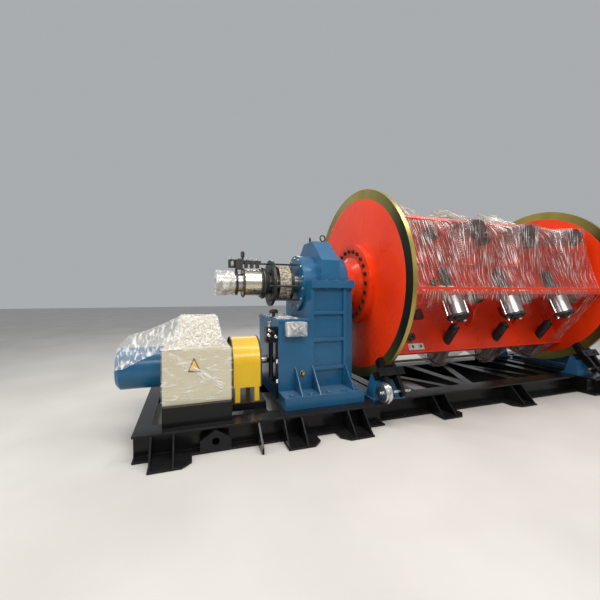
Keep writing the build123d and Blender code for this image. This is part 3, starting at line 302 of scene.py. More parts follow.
yellow_paint = painted("yellow_paint", (0.62, 0.38, 0.006), (0.80, 0.52, 0.012))
beige_paint = painted("beige_paint", (0.50, 0.45, 0.31), (0.60, 0.545, 0.40), gloss=0.38)
finish_nodes(yellow_paint, "coupling_guard")
finish_nodes(beige_paint, "motor_guard")


def join_rings(bm, rings):
    """Faces between each ring of corners and the next."""
    for first, second in zip(rings, rings[1:]):
        for i in range(len(first)):
            j = (i + 1) % len(first)
            bm.faces.new((first[i], first[j], second[j], second[i]))


def piece(name, bm, finish, body, sharp=35):
    """Turns the mesh in hand into a named piece that rides on a body."""
    bmesh.ops.recalc_face_normals(bm, faces=bm.faces)
    data = bpy.data.meshes.new(name)
    bm.to_mesh(data)
    bm.free()
    data.materials.append(finish)
    data.shade_smooth()
    data.set_sharp_from_angle(angle=radians(sharp))
    made = bpy.data.objects.new(name, data)
    bpy.context.collection.objects.link(made)
    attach(made, body)
    return made


rubber = metal("edge_rubber", (0.012, 0.012, 0.012), (0.025, 0.025, 0.024), (0.5, 0.7), metallic=0.0)
trim_foot, trim_over, trim_under, trim_lip = 0.405, 0.003, 0.006, 0.010
arch_steps = 32

low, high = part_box("coupling_guard")
arch_y, arch_r = (low.y + high.y) / 2, (high.y - low.y) / 2
arch_z = high.z - arch_r
route = [(arch_y - arch_r, trim_foot, -1, 0)]
for i in range(arch_steps + 1):
    turn = pi - pi * i / arch_steps
    route.append((arch_y + arch_r * cos(turn), arch_z + arch_r * sin(turn), cos(turn), sin(turn)))
route.append((arch_y + arch_r, trim_foot, 1, 0))
trim = bmesh.new()
for x0, x1 in ((low.x - trim_over, low.x + trim_lip), (high.x - trim_lip, high.x + trim_over)):
    lip = ((x0, -trim_under), (x0, trim_over), (x1, trim_over), (x1, -trim_under))
    loops = [[trim.verts.new((x, y + ny * out, z + nz * out)) for x, out in lip]
             for y, z, ny, nz in route]
    join_rings(trim, loops)
    trim.faces.new(loops[0])
    trim.faces.new(loops[-1][::-1])
piece("guard_trim", trim, rubber, "base", sharp=0)

# Shaft's end, air chambers and cover drum: the nose and the brakes' chambers are turned or pressed
# steel with bright zinc on them, and the drum is turned and blackened.

zinc = metal("zinc_plate", (0.50, 0.50, 0.48), (0.68, 0.68, 0.66), (0.22, 0.38))
finish_nodes(zinc, "shaft_nose", "brake_chambers")
finish_nodes(black_oxide, "cover_drum")

# Rear conduit: a pale-coated steel tube. It lies along the rear base beam, in black clamps that are
# screwed to the beam.

pale_tube = metal("pale_tube", (0.50, 0.47, 0.36), (0.60, 0.57, 0.45), (0.35, 0.5), metallic=0.3)
finish_nodes(pale_tube, "rear_conduit")

# Fasteners: zinc-plated hex bolts with washers on the bearing caps, painted ones on the gearboxes'
# flanges, foot and lid, and blackened socket screws sunk in the head hub.

upward, downward = (0, 0, 1), (0, 0, -1)
driveward, tailward = (-1, 0, 0), (1, 0, 0)


def facing(place, normal):
    """Placement at a point, with local Z along a direction."""
    turn = Vector(normal).to_track_quat("Z", "Y").to_matrix().to_4x4()
    return Matrix.Translation(Vector(place)) @ turn


def round_axis(x, reach, turn):
    """Point at a reach and turn round the cage's axis, with X from the head disc."""
    return head_x + x, reach * cos(turn), axis_height + reach * sin(turn)


def turned(bm, matrix, profile, segments=20):
    """A turned shape from (radius, height) steps round local Z."""
    rings = []
    for radius, height in profile:
        if radius < 1e-6:
            rings.append([bm.verts.new(matrix @ Vector((0, 0, height)))])
            continue
        rings.append([bm.verts.new(matrix @ Vector((radius * cos(2 * pi * i / segments),
                                                    radius * sin(2 * pi * i / segments), height)))
                      for i in range(segments)])
    for low, high in zip(rings, rings[1:]):
        for i in range(max(len(low), len(high))):
            j = i + 1
            corners = [low[i % len(low)], low[j % len(low)], high[j % len(high)], high[i % len(high)]]
            bm.faces.new(list(dict.fromkeys(corners)))


def hex_bolt(bm, matrix, size):
    """Washer and chamfered hex head, with size as the head's half width over corners."""
    washer, washer_top = 1.2 * size, 0.16 * size
    chamfer, head_side, head_top = 0.86 * size, 0.72 * size, 0.84 * size
    turned(bm, matrix, [(0, 0), (washer, 0), (washer, washer_top), (0, washer_top)])
    turned(bm, matrix, [(0, washer_top), (size, washer_top), (size, head_side), (chamfer, head_top),
                        (0, head_top)], 6)


bolt_finish = metal("zinc_bolts", (0.42, 0.42, 0.40), (0.62, 0.61, 0.58), (0.25, 0.45), scale=60)

socket_screw = [(0.015, -0.02), (0.015, 0), (0.0235, 0), (0.0235, 0.013), (0.021, 0.016),
                (0.012, 0.016), (0.012, 0.004), (0, 0.004)]
hub_face, hub_circle, hub_count = -0.060, 0.38, 24
screws = bmesh.new()
for i in range(hub_count):
    seat = round_axis(hub_face, hub_circle, 2 * pi * i / hub_count)
    turned(screws, facing(seat, driveward), socket_screw, segments=18)
piece("hub_screws", screws, black_oxide, "cage")

cap_count, cap_bolt = 14, 0.013
cap_bolts = bmesh.new()
for x, circle, way in ((-0.735, 0.272, driveward), (-0.225, 0.278, tailward)):
    for i in range(cap_count):
        seat = round_axis(x, circle, 2 * pi * (i + 0.5) / cap_count)
        hex_bolt(cap_bolts, facing(seat, way), cap_bolt)
piece("cap_bolts", cap_bolts, bolt_finish, "base")

flange_stations = (-0.66, -0.545, -0.43, -0.315, -0.262)
flange_bolts = bmesh.new()
for side in (-1, 1):
    for x in flange_stations:
        for out, level, way, size in ((0.431, 0.018, upward, 0.015), (0.447, -0.055, downward, 0.011)):
            hex_bolt(flange_bolts, facing((head_x + x, side * out, axis_height + level), way), size)
piece("flange_bolts", flange_bolts, blue_paint, "base")

foot_stations = (-0.965, -0.78, -0.60, -0.44, -0.285)
foot_out, foot_top, foot_bolt = 0.618, 0.315, 0.024
foot_bolts = bmesh.new()
for side in (-1, 1):
    for x in foot_stations:
        hex_bolt(foot_bolts, facing((head_x + x, side * foot_out, foot_top), upward), foot_bolt)
piece("gearbox_foot_bolts", foot_bolts, blue_paint, "base")

lid_top, lid_bolt = 1.0, 0.010
lid_seats = [(x, side * 0.42) for side in (-1, 1) for x in (-1.02, -0.92, -0.82, -0.735)]
lid_seats += [(-1.03, y) for y in (-0.3, -0.18, -0.06, 0.06, 0.18, 0.3)]
lid_bolts = bmesh.new()
for x, y in lid_seats:
    hex_bolt(lid_bolts, facing((head_x + x, y, lid_top), upward), lid_bolt)
piece("lid_bolts", lid_bolts, blue_paint, "base")

# Drain plugs and breather of the speed gearbox: the plugs are turned brass with a hex head, one low
# on each side, and the black moulded knob of the breather is screwed into the lid.

brass = metal("turned_brass", (0.42, 0.29, 0.10), (0.58, 0.42, 0.17), (0.22, 0.36))
plug_collar = [(0, 0), (0.026, 0), (0.026, 0.012), (0.02, 0.014), (0.02, 0.016)]
plug_head = [(0.017, 0.014), (0.017, 0.034), (0.014, 0.038), (0, 0.038)]
plug_x, plug_out, plug_level = -0.80, 0.432, 0.475
plug = bmesh.new()
for side in (-1, 1):
    place = facing((head_x + plug_x, side * plug_out, plug_level), (0, side, 0))
    turned(plug, place, plug_collar)
    turned(plug, place, plug_head, segments=6)
piece("drain_plugs", plug, brass, "base")

breather_profile = [(0, 0), (0.03, 0), (0.03, 0.012), (0.016, 0.016), (0.016, 0.045), (0.042, 0.05),
                    (0.046, 0.062), (0.044, 0.082), (0.03, 0.09), (0, 0.092)]
breather = bmesh.new()
turned(breather, facing((head_x - 1.015, -0.15, lid_top), upward), breather_profile, segments=24)
piece("breather_knob", breather, black_oxide, "base")

# Oil pump fittings: a black pressure pipe stands along the gearbox's side, between two black screwed
# bosses, and turned and chromed unions join it to the pump.

frontward = (0, -1, 0)
pipe_x, pipe_y, boss_y = -1.054, -0.418, -0.412
riser = [(0, 0), (0.016, 0), (0.016, 0.01), (0.012, 0.012), (0.012, 0.66), (0.016, 0.662),
         (0.016, 0.69), (0, 0.692)]
round_boss = [(0, 0), (0.026, 0), (0.026, 0.02), (0.019, 0.024), (0.019, 0.05), (0.012, 0.054),
              (0, 0.054)]
hex_boss = [(0, 0), (0.020, 0), (0.020, 0.03), (0.014, 0.034), (0, 0.034)]
pipe = bmesh.new()
turned(pipe, facing((head_x + pipe_x, pipe_y, 0.246), upward), riser)
turned(pipe, facing((head_x - 1.095, boss_y, 0.885), frontward), round_boss)
turned(pipe, facing((head_x - 1.125, boss_y, 0.825), frontward), hex_boss, segments=6)
piece("pressure_pipe", pipe, black_paint, "base")

pipe_nut = [(0.0125, 0), (0.018, 0.001), (0.018, 0.013), (0.015, 0.014), (0.015, 0.020),
            (0.018, 0.021), (0.018, 0.034), (0.0125, 0.035)]
small_union = [(0, 0), (0.014, 0), (0.014, 0.012), (0.009, 0.014), (0.009, 0.030), (0.013, 0.031),
               (0.013, 0.042), (0, 0.043)]
top_union = [(0, 0), (0.018, 0), (0.018, 0.012), (0.010, 0.015), (0.010, 0.035), (0.022, 0.037),
             (0.022, 0.048), (0, 0.050)]
pump_chrome = bmesh.new()
for z in (0.40, 0.59):
    turned(pump_chrome, facing((head_x + pipe_x, pipe_y, z), upward), pipe_nut, segments=6)
for x, z in ((-1.128, 0.905), (-1.068, 0.845), (-1.135, 0.86)):
    turned(pump_chrome, facing((head_x + x, boss_y, z), frontward), small_union, segments=6)
turned(pump_chrome, facing((head_x - 1.105, -0.345, 0.935), upward), top_union, segments=16)
piece("pump_unions", pump_chrome, chrome, "base")

# Brush gear: moulded holders with carbon brushes are clamped on the frame's bars, with zinc-plated
# terminal screws on top, and black insulating rings stand between the slip rings.

insulator = metal("moulded_insulator", (0.015, 0.014, 0.013), (0.03, 0.028, 0.026), (0.3, 0.5),
                  metallic=0.0)


def block(bm, matrix, size, edge=0.004):
    """A block with chamfered edges round local Z, centred on its base."""
    x, y, z = size[0] / 2, size[1] / 2, size[2]
    rings = []
    for inset, height in ((edge, 0), (0, edge), (0, z - edge), (edge, z)):
        rings.append([bm.verts.new(matrix @ Vector((sx * (x - inset), sy * (y - inset), height)))
                      for sx, sy in ((-1, -1), (1, -1), (1, 1), (-1, 1))])
    join_rings(bm, rings)
    bm.faces.new(rings[0][::-1])
    bm.faces.new(rings[-1])


brush_box, brush_bridge = (0.034, 0.05, 0.062), (0.20, 0.034, 0.018)
pillar = [(0, 0), (0.012, 0), (0.012, 0.03), (0.021, 0.036), (0.021, 0.085), (0.012, 0.095), (0, 0.095)]
holder_blocks = [(x, 0.0, 0.155, brush_box) for x in (-1.275, -1.215, -1.155)]
holder_blocks += [(-1.215, 0.0, 0.217, brush_bridge), (-1.34, 0.0, 0.14, (0.05, 0.09, 0.11))]
arm_blocks = [(-1.405, -0.02, 0.152, (0.11, 0.022, 0.088)), (-1.365, -0.05, 0.135, (0.05, 0.03, 0.105))]
holders = bmesh.new()
for x, y, level, size in holder_blocks:
    block(holders, facing((head_x + x, y, axis_height + level), upward), size)
turned(holders, facing((head_x - 1.31, 0.0, axis_height + 0.235), upward), pillar)
for x, y, level, size in arm_blocks:
    block(holders, facing((head_x + x, y, axis_height + level), upward), size)
piece("brush_holders", holders, insulator, "base")

terminal_screw = [(0.006, -0.004), (0.010, 0), (0.010, 0.016), (0.006, 0.018), (0.006, 0.026),
                  (0, 0.027)]
tag_size, tag_edge = (0.026, 0.044, 0.005), 0.001
terminals = bmesh.new()
block(terminals, facing((head_x - 1.42, -0.031, axis_height + 0.195), frontward), tag_size, tag_edge)
for x in (-1.445, -1.43, -1.27, -1.245, -1.22, -1.16):
    seat = (head_x + x, -0.012, axis_height + 0.238)
    turned(terminals, facing(seat, upward), terminal_screw, segments=12)
piece("brush_terminals", terminals, bolt_finish, "base")

thin_ring = [(0.139, 0.0), (0.153, 0.001), (0.155, 0.008), (0.153, 0.016), (0.139, 0.017)]
end_flange = [(0.139, 0), (0.166, 0.002), (0.168, 0.008), (0.168, 0.020), (0.164, 0.026),
              (0.124, 0.028), (0.118, 0.076), (0.100, 0.078)]
rings = bmesh.new()
for x, profile in ((-1.317, thin_ring), (-1.132, thin_ring), (-1.114, end_flange)):
    turned(rings, facing((head_x + x, 0, axis_height), tailward), profile, segments=64)
piece("insulating_rings", rings, insulator, "cage")

# Slip rings: a drum of turned and polished bronze-coloured rings that carries current to the cage.
# The brushes leave fine bands round it.

dull_band, bright_band = (0.50, 0.46, 0.35), (0.66, 0.63, 0.54)
slip_ring_finish, tree, shader = new_finish("polished_slip_rings")
bands = cloudy(tree, place_on(tree), (420, 3, 3), 1.0, 2.0)
tree.links.new(mix_colour(tree, bands, dull_band, bright_band), shader.inputs["Base Color"])
tree.links.new(fade(tree, bands, 0.0, 1.0, 0.20, 0.38), shader.inputs["Roughness"])
tree.links.new(relief(tree, bands, strength=0.15, depth=0.001), shader.inputs["Normal"])
shader.inputs["Metallic"].default_value = 1.0
finish_nodes(slip_ring_finish, "slip_ring_drum")

# Clamp cylinder fittings: on each end plate a black air block with two chromed unions, a ring of
# screws, and a tie bolt with its T head. They are drawn once and repeated on every cylinder.

first_web, cage_length, bobbin_pitch, cylinder_shift = 0.045, 2.955, 0.785, 0.038
cage_mid = head_x + first_web + cage_length / 2
web_turn = radians(185.45)
bays = range(6)
plate_out, plate_face, screw_circle, screw_count = 0.645, 0.686, 0.086, 8
plate_boss = [(0, 0), (0.046, 0), (0.046, 0.012), (0.038, 0.02), (0, 0.02)]
plate_screw = [(0.009, 0), (0.009, 0.009), (0.007, 0.011), (0, 0.011)]
air_block = (0.05, 0.036, 0.034)
long_union = [(0.010, 0), (0.010, 0.02), (0.014, 0.021), (0.014, 0.034), (0.008, 0.036),
              (0.008, 0.06), (0, 0.062)]
short_union = [(0.009, 0), (0.009, 0.022), (0.013, 0.024), (0.013, 0.032), (0, 0.034)]
side_pin = [(0.010, 0), (0.010, 0.012), (0.006, 0.014), (0.006, 0.03), (0, 0.03)]
tie_head = [(0.012, 0), (0.017, 0.0), (0.017, 0.016), (0.012, 0.02), (0, 0.02)]


def bay_point(bay, x, out, along):
    """Point in a bay: out from the axis through its middle, and along its pintles."""
    turn = web_turn + radians(60 * bay - 30)
    return Vector((x, out * cos(turn) - along * sin(turn),
                   axis_height + out * sin(turn) + along * cos(turn)))


def cylinder_places(bay):
    """X of a bay's three clamp cylinders. Every second bay stands half a pitch further along."""
    return [cage_mid - cylinder_shift + (bay % 2) * (bobbin_pitch / 2) + step * bobbin_pitch
            for step in (-1, 0, 1)]


along_x = Vector((1, 0, 0))
fittings = bmesh.new()
unions = bmesh.new()
for bay in bays:
    for x in cylinder_places(bay):
        base = bay_point(bay, x, plate_out, plate_face)
        axis = bay_point(bay, x, plate_out, plate_face + 1) - base
        side = bay_point(bay, x, plate_out + 1, plate_face) - base
        turned(fittings, facing(base, axis), plate_boss)
        for i in range(screw_count):
            turn = 2 * pi * i / screw_count
            seat = base + side * (screw_circle * cos(turn)) + along_x * (screw_circle * sin(turn))
            turned(fittings, facing(seat, axis), plate_screw, segments=12)
        seat = base - side * 0.03 + along_x * 0.045
        block(fittings, facing(seat, axis), air_block)
        turned(unions, facing(seat + axis * 0.017 + along_x * 0.02, along_x), long_union, segments=12)
        seat = base - side * 0.045 - along_x * 0.05
        turned(unions, facing(seat, axis), short_union, segments=12)
        turned(unions, facing(bay_point(bay, x - 0.122, plate_out, 0.63), axis), side_pin, 12)
        turned(fittings, facing(bay_point(bay, x + 0.150, plate_out, 0.632), axis), tie_head, segments=6)
piece("cylinder_fittings", fittings, black_oxide, "cage")
piece("cylinder_unions", unions, chrome, "cage")

# Wire guides: by the head disc a pale block with two ceramic eyes is screwed on each web, and a
# small grooved roller turns on a pin next to it.

pale_block = metal("pale_guide_block", (0.55, 0.54, 0.50), (0.70, 0.69, 0.64), (0.35, 0.5), metallic=0.2)
board_size, board_x, board_out, board_lift = (0.21, 0.078, 0.020), 0.615, 0.802, 0.008
eye_stations, eye_lift = (0.56, 0.67), 0.027
eye_ring = [(0.017, 0), (0.034, 0), (0.034, 0.010), (0.030, 0.014), (0.020, 0.014), (0.017, 0.010),
            (0.017, 0)]
eye_bore = [(0.0168, 0.0), (0.0168, 0.004), (0, 0.004)]
roller_x, roller_out, roller_lift = 0.545, 0.70, 0.010
roller = [(0.012, 0), (0.012, 0.03), (0.040, 0.032), (0.044, 0.04), (0.032, 0.052), (0.032, 0.066),
          (0.044, 0.078), (0.040, 0.086), (0.012, 0.088), (0.012, 0.11), (0, 0.112)]
guides = bmesh.new()
rollers = bmesh.new()
centre = Vector((head_x, 0, axis_height))
for bay in bays:
    turn = web_turn + radians(60 * bay)
    out = Vector((0, cos(turn), sin(turn)))
    off_web = -Vector((0, -sin(turn), cos(turn)))
    board = centre + along_x * board_x + out * board_out + off_web * board_lift
    lying = Matrix((along_x, out, off_web)).transposed().to_4x4()
    block(guides, Matrix.Translation(board) @ lying, board_size)
    for x in eye_stations:
        seat = centre + along_x * x + out * board_out + off_web * eye_lift
        turned(guides, facing(seat, off_web), eye_ring, segments=28)
        turned(rollers, facing(seat, off_web), eye_bore)
    seat = centre + along_x * roller_x + out * roller_out + off_web * roller_lift
    turned(rollers, facing(seat, off_web), roller, segments=28)
piece("guide_blocks", guides, pale_block, "cage")
piece("guide_rollers", rollers, black_oxide, "cage")

# Stretch film round the cage: clear polyethylene wound in many turns over the corner bands and the
# clamp cylinders. It holds by its own cling, tents over the cylinders and bunches on top.


def film(name, along, across, haze, streaks, edge=(0.48, 0.62), tone=(0.80, 0.80, 0.77),
         bright=(0.93, 0.93, 0.91), wrinkle=1.0, twist=0.5, gloss=(0.12, 0.30)):
    """Clear cling film: cloudy haze with white stress streaks that run along the pull."""
    made, tree, shader = new_finish(name)
    cloud = blotches(tree, 3.0, 0.35, 1.0, 3.0, source="UV")
    lines = cloudy(tree, place_on(tree, "UV"), (along, across, 1), 1.0, 3.0, twist)
    cover = work_out(tree, "MULTIPLY", fade(tree, lines, *edge, haze, streaks), cloud)
    tree.links.new(cover, shader.inputs["Alpha"])
    tree.links.new(mix_colour(tree, fade(tree, lines, *edge), tone, bright), shader.inputs["Base Color"])
    tree.links.new(blotches(tree, 12, *gloss, source="UV"), shader.inputs["Roughness"])
    tree.links.new(relief(tree, lines, wrinkle, 0.01), shader.inputs["Normal"])
    return made


# The film's UV map runs in metres round the cage from the web at its back foot, and along it. It is
# thin where the photograph shows it clear, and thick in the heap on the top bay.

heap_tone = (0.46, 0.43, 0.38)
first_edge, clear_bay_end = (0.05, 0.09), (0.86, 0.95)
heap_start, heap_end = (3.50, 3.58), (4.38, 4.45)
head_wisps, tail_strip = (0.10, 0.60), (2.69, 2.71)
clear, thick, heap_cover, next_cover = 0.05, 1.0, 1.25, 0.8
# The haze is a dark maroon tone: painted shade that darkens the bays seen through the film.
wound_finish = film("wound_film", along=5.0, across=120.0, haze=0.50, streaks=0.95, edge=(0.54, 0.66),
                    tone=(0.16, 0.085, 0.075), wrinkle=0.35, twist=0.06)
tree = wound_finish.node_tree
shader = tree.nodes["Principled BSDF"]
cover = shader.inputs["Alpha"].links[0].from_socket
painted_shade_tint = shader.inputs["Base Color"].links[0].from_socket
chart = add_node(tree, "ShaderNodeSeparateXYZ", {0: place_on(tree, "UV")})
turns, from_head = chart.outputs["X"], chart.outputs["Y"]
whole = fade(tree, turns, *first_edge, thick, clear)
for other in (fade(tree, turns, *clear_bay_end, clear, thick),
              fade(tree, from_head, *head_wisps, 0.55, clear),
              fade(tree, from_head, *tail_strip, clear, 0.75)):
    whole = work_out(tree, "MAXIMUM", whole, other)
heaped = fade(tree, turns, *heap_start, thick, heap_cover)
level = fade(tree, turns, *heap_end, thick, next_cover)
on_top = fade(tree, work_out(tree, "MULTIPLY", heaped, level), thick, heap_cover, 0.0, 0.6)
# On the top bay the painted shade gives way to a lighter grey heap tone.
tree.links.new(mix_colour(tree, on_top, painted_shade_tint, heap_tone), shader.inputs["Base Color"])
for other in (heaped, level):
    whole = work_out(tree, "MULTIPLY", whole, other)
tree.links.new(work_out(tree, "MULTIPLY", cover, whole), shader.inputs["Alpha"])

film_flat, hexagon_half = 0.7638, 0.57735
half_side = film_flat * hexagon_half
film_limit = 1.058
tent_peak, tent_height, tent_width, tent_slope = -0.29, 0.2285, 0.24, 0.54
film_start, film_length, film_steps, side_steps = 0.058, 2.885, 130, 30
film_gap, tight_fold, heaped_fold = 0.002, 0.006, 0.030
small_folds, large_folds, large_share, heap_growth = (26, 4.0), (9, 5.0), 0.7, 18
top_bay = 5
side_length = 0.88


def tent(bay, x, s):
    """How far a clamp cylinder of the bay before lifts the film in this bay."""
    near = min(abs(x - place) for place in cylinder_places((bay + 5) % 6))
    pull = 1 / (1 + (near / tent_width) ** 4)
    if s < tent_peak:
        rise = (s + half_side) / (half_side + tent_peak)
    else:
        rise = max(0.0, 1 - (s - tent_peak) / tent_slope)
    return tent_height * pull * rise


wound = bmesh.new()
layer = wound.loops.layers.uv.new("UVMap")
stations = [head_x + film_start + film_length * i / film_steps for i in range(film_steps + 1)]
loops = []
for turn_no, bay in enumerate((1, 2, 3, 4, 5, 0)):
    loose = heaped_fold if bay == top_bay else tight_fold
    for spot in (i / side_steps for i in range(side_steps)):
        at = turn_no + spot
        s = half_side * (2 * spot - 1)
        free = min(1.0, (1 - abs(2 * spot - 1)) * 5)
        ring = []
        for x in stations:
            lift = tent(bay, x, s)
            small = noise.noise(Vector((x * small_folds[0], at * small_folds[1], 0.0)))
            large = noise.noise(Vector((x * large_folds[0], at * large_folds[1], 4.0)))
            fold = 0.5 + small + large_share * abs(large)
            heap = 1 + heap_growth * lift * (bay == top_bay) * 0.2
            out = film_flat + lift + film_gap + free * loose * max(fold, 0.0) * heap
            out = min(out, (film_limit ** 2 - s * s) ** 0.5)
            ring.append(wound.verts.new(bay_point(bay, x, out, s)))
        loops.append((at, ring))
for i, (at, ring) in enumerate(loops):
    after, following = loops[(i + 1) % len(loops)]
    after = len(bays) if i == len(loops) - 1 else after
    for j in range(film_steps):
        face = wound.faces.new((ring[j], ring[j + 1], following[j + 1], following[j]))
        for loop, (u, v) in zip(face.loops, ((at, j), (at, j + 1), (after, j + 1), (after, j))):
            loop[layer].uv = (u * side_length, stations[v] - head_x)
cage_film = piece("cage_film", wound, wound_finish, "cage", sharp=60)

# Film over the hump of the motor's guard: clear polyethylene pulled down over the raised top in
# many small creases, and held by its own cling.

hump_film_finish = film("hump_film", along=60.0, across=60.0, haze=0.42, streaks=0.95,
                        edge=(0.45, 0.58), tone=(0.84, 0.83, 0.80))


def outline(x0, x1, y0, y1, z):
    """Points round a level rectangle, with its first corner repeated at the end."""
    count = 26
    corners = [(x0, y0), (x1, y0), (x1, y1), (x0, y1), (x0, y0)]
    line = []
    for (ax, ay), (bx, by) in zip(corners, corners[1:]):
        line += [Vector((head_x + ax + (bx - ax) * i / count, ay + (by - ay) * i / count, z))
                 for i in range(count)]
    return line + [line[0].copy()]


def between(first, last, steps):
    """Lines of points from one line towards another, without the last one."""
    return [[a.lerp(b, i / steps) for a, b in zip(first, last)] for i in range(steps)]


def skin(rows):
    """A thin mesh over rows of points, with a UV map in metres."""
    bm = bmesh.new()
    layer = bm.loops.layers.uv.new("UVMap")
    middle = rows[len(rows) // 2]
    across = [0.0]
    for a, b in zip(middle, middle[1:]):
        across.append(across[-1] + (b - a).length)
    down = [0.0]
    for upper, lower in zip(rows, rows[1:]):
        down.append(down[-1] + sum((b - a).length for a, b in zip(upper, lower)) / len(upper))
    grid = [[bm.verts.new(point) for point in row] for row in rows]
    for r in range(len(rows) - 1):
        for c in range(len(middle) - 1):
            face = bm.faces.new((grid[r][c], grid[r][c + 1], grid[r + 1][c + 1], grid[r + 1][c]))
            for loop, (i, j) in zip(face.loops, ((r, c), (r, c + 1), (r + 1, c + 1), (r + 1, c))):
                loop[layer].uv = (across[j], down[i])
    return bm


def crumple(bm, centre, depth, scale, shift):
    """Lifts a film off what it wraps in small sharp folds."""
    bmesh.ops.remove_doubles(bm, verts=bm.verts, dist=1e-5)
    bm.normal_update()
    lifts = []
    for vert in bm.verts:
        place = vert.co * scale + Vector((shift, 0, 0))
        fold = abs(noise.noise(place)) + 0.5 * abs(noise.noise(place * 2.3))
        way = vert.normal if vert.normal.dot(vert.co - Vector(centre)) >= 0 else -vert.normal
        lifts.append(way * (depth * min(fold * 1.6, 1.0)))
    for vert, lift in zip(bm.verts, lifts):
        vert.co += lift


hump_crown = outline(-1.80, -1.72, -0.33, -0.25, 1.046)
hump_edge = outline(-1.911, -1.609, -0.458, -0.122, 1.046)
hump_foot = outline(-1.985, -1.560, -0.530, -0.050, 0.800)
hump_hem = outline(-2.050, -1.512, -0.648, 0.148, 0.798)
hump = skin(between(hump_crown, hump_edge, 8) + between(hump_edge, hump_foot, 26)
            + between(hump_foot, hump_hem, 6) + [hump_hem])
crumple(hump, (head_x - 1.78, -0.29, 0.5), depth=0.011, scale=24, shift=0.0)
hump_film = piece("hump_film", hump, hump_film_finish, "base", sharp=60)

# Film over the motor: one clear sheet stretched like a tent from the guard's top edge down to the
# rounded end of the motor, with soft folds along the pull.

tent_film_finish = film("tent_film", along=14.0, across=30.0, haze=0.22, streaks=0.80, wrinkle=0.9)
guard_y, motor_axis, motor_reach = -0.25, 0.6, 0.185
across_steps = 48
head_section = [(-0.659, 0.802), (-0.452, 1.050), (-0.128, 1.050), (0.159, 0.802)]
edge_section = [(-0.659, 0.799), (-0.430, 0.968), (-0.110, 0.968), (0.159, 0.799)]
shoulder_section = [(-0.452, 0.635), (-0.345, 0.868), (-0.155, 0.868), (-0.048, 0.635)]


def along_section(section, t):
    """Point at a share of a four-cornered line."""
    lengths = [hypot(b[0] - a[0], b[1] - a[1]) for a, b in zip(section, section[1:])]
    way = t * sum(lengths)
    for a, b, length in zip(section, section[1:], lengths):
        if way <= length or b is section[-1]:
            return Vector((0, a[0] + (b[0] - a[0]) * way / length, a[1] + (b[1] - a[1]) * way / length))
        way -= length


def section_line(section, x):
    """A row of points along a four-cornered line at X."""
    return [along_section(section, j / across_steps) + Vector((head_x + x, 0, 0))
            for j in range(across_steps + 1)]


head_line = section_line(head_section, -1.905)
edge_line = section_line(edge_section, -2.060)
shoulder_line = section_line(shoulder_section, -2.350)
end_turns = [radians(8 + 164 * j / across_steps) for j in range(across_steps + 1)]
end_line = [Vector((head_x - 2.421, guard_y - motor_reach * cos(turn),
                    motor_axis + motor_reach * sin(turn))) for turn in end_turns]
tent_mesh = skin(between(head_line, edge_line, 12) + between(edge_line, shoulder_line, 22)
                 + between(shoulder_line, end_line, 10) + [end_line])
crumple(tent_mesh, (head_x - 2.2, -0.25, 0.55), depth=0.009, scale=15, shift=11.0)
motor_film = piece("motor_film", tent_mesh, tent_film_finish, "base", sharp=60)

# Film round the guard's sides: a clear skirt that clings to the four walls of sheet metal, with an
# arched gap where the motor comes out of them.

guard_film_finish = film("guard_film", along=9.0, across=34.0, haze=0.12, streaks=0.80,
                         edge=(0.52, 0.66), wrinkle=0.9, twist=1.2)
motor_clear, end_wall, hem_lift = 0.192, -2.05, 0.02
guard_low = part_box("motor_guard")[0].z
skirt_top = outline(-2.0565, -1.5035, -0.6565, 0.1565, 0.797)
skirt_foot = []
for point in outline(-2.0575, -1.5025, -0.6575, 0.1575, guard_low + hem_lift):
    sideways = point.y - guard_y
    if point.x < head_x + end_wall and abs(sideways) < motor_clear:
        point.z = motor_axis + (motor_clear ** 2 - sideways ** 2) ** 0.5 + 0.002
    skirt_foot.append(point)
skirt = skin(between(skirt_top, skirt_foot, 20) + [skirt_foot])
crumple(skirt, (head_x - 1.78, -0.25, 0.6), depth=0.006, scale=15, shift=7.0)
guard_film = piece("guard_film", skirt, guard_film_finish, "base", sharp=60)

# Twisted fold: the film's loose end, twisted into a rope and drawn down across the guard's front
# wall, where it clings to the skirt under it.

fold_finish = film("folded_film", along=40.0, across=9.0, haze=0.35, streaks=0.85)
fold_head = Vector((head_x - 2.00, -0.668, 0.775))
fold_tail = Vector((head_x - 1.575, -0.668, 0.485))
fold_depth, fold_rows, fold_strands = 0.006, 60, 10
fold_wander, least_width, width_change, width_growth = 0.010, 0.012, 0.016, 0.012
way = (fold_tail - fold_head).normalized()
beside = Vector((-way.z, 0, way.x))
rows = []
for i in range(fold_rows + 1):
    t = i / fold_rows
    centre = fold_head.lerp(fold_tail, t) + beside * (fold_wander * noise.noise(Vector((t * 5, 1, 0))))
    wide = least_width + width_change * abs(noise.noise(Vector((t * 4, 5, 0)))) + width_growth * t
    row = []
    for j in range(fold_strands + 1):
        across = (j / fold_strands - 0.5) * 2
        ridge = abs(sin(pi * (1.5 * across + 2.2 * t + noise.noise(Vector((t * 7, 9, 0))))))
        row.append(centre + beside * (wide * across) - Vector((0, fold_depth * ridge, 0)))
    rows.append(row)
twisted_fold = piece("twisted_fold", skin(rows), fold_finish, "base", sharp=60)

# Triangular plate on the guard's front wall: thin sheet, bare on its yellow face, on a dark backing
# that shows as a rim. Both are fixed on under the film.

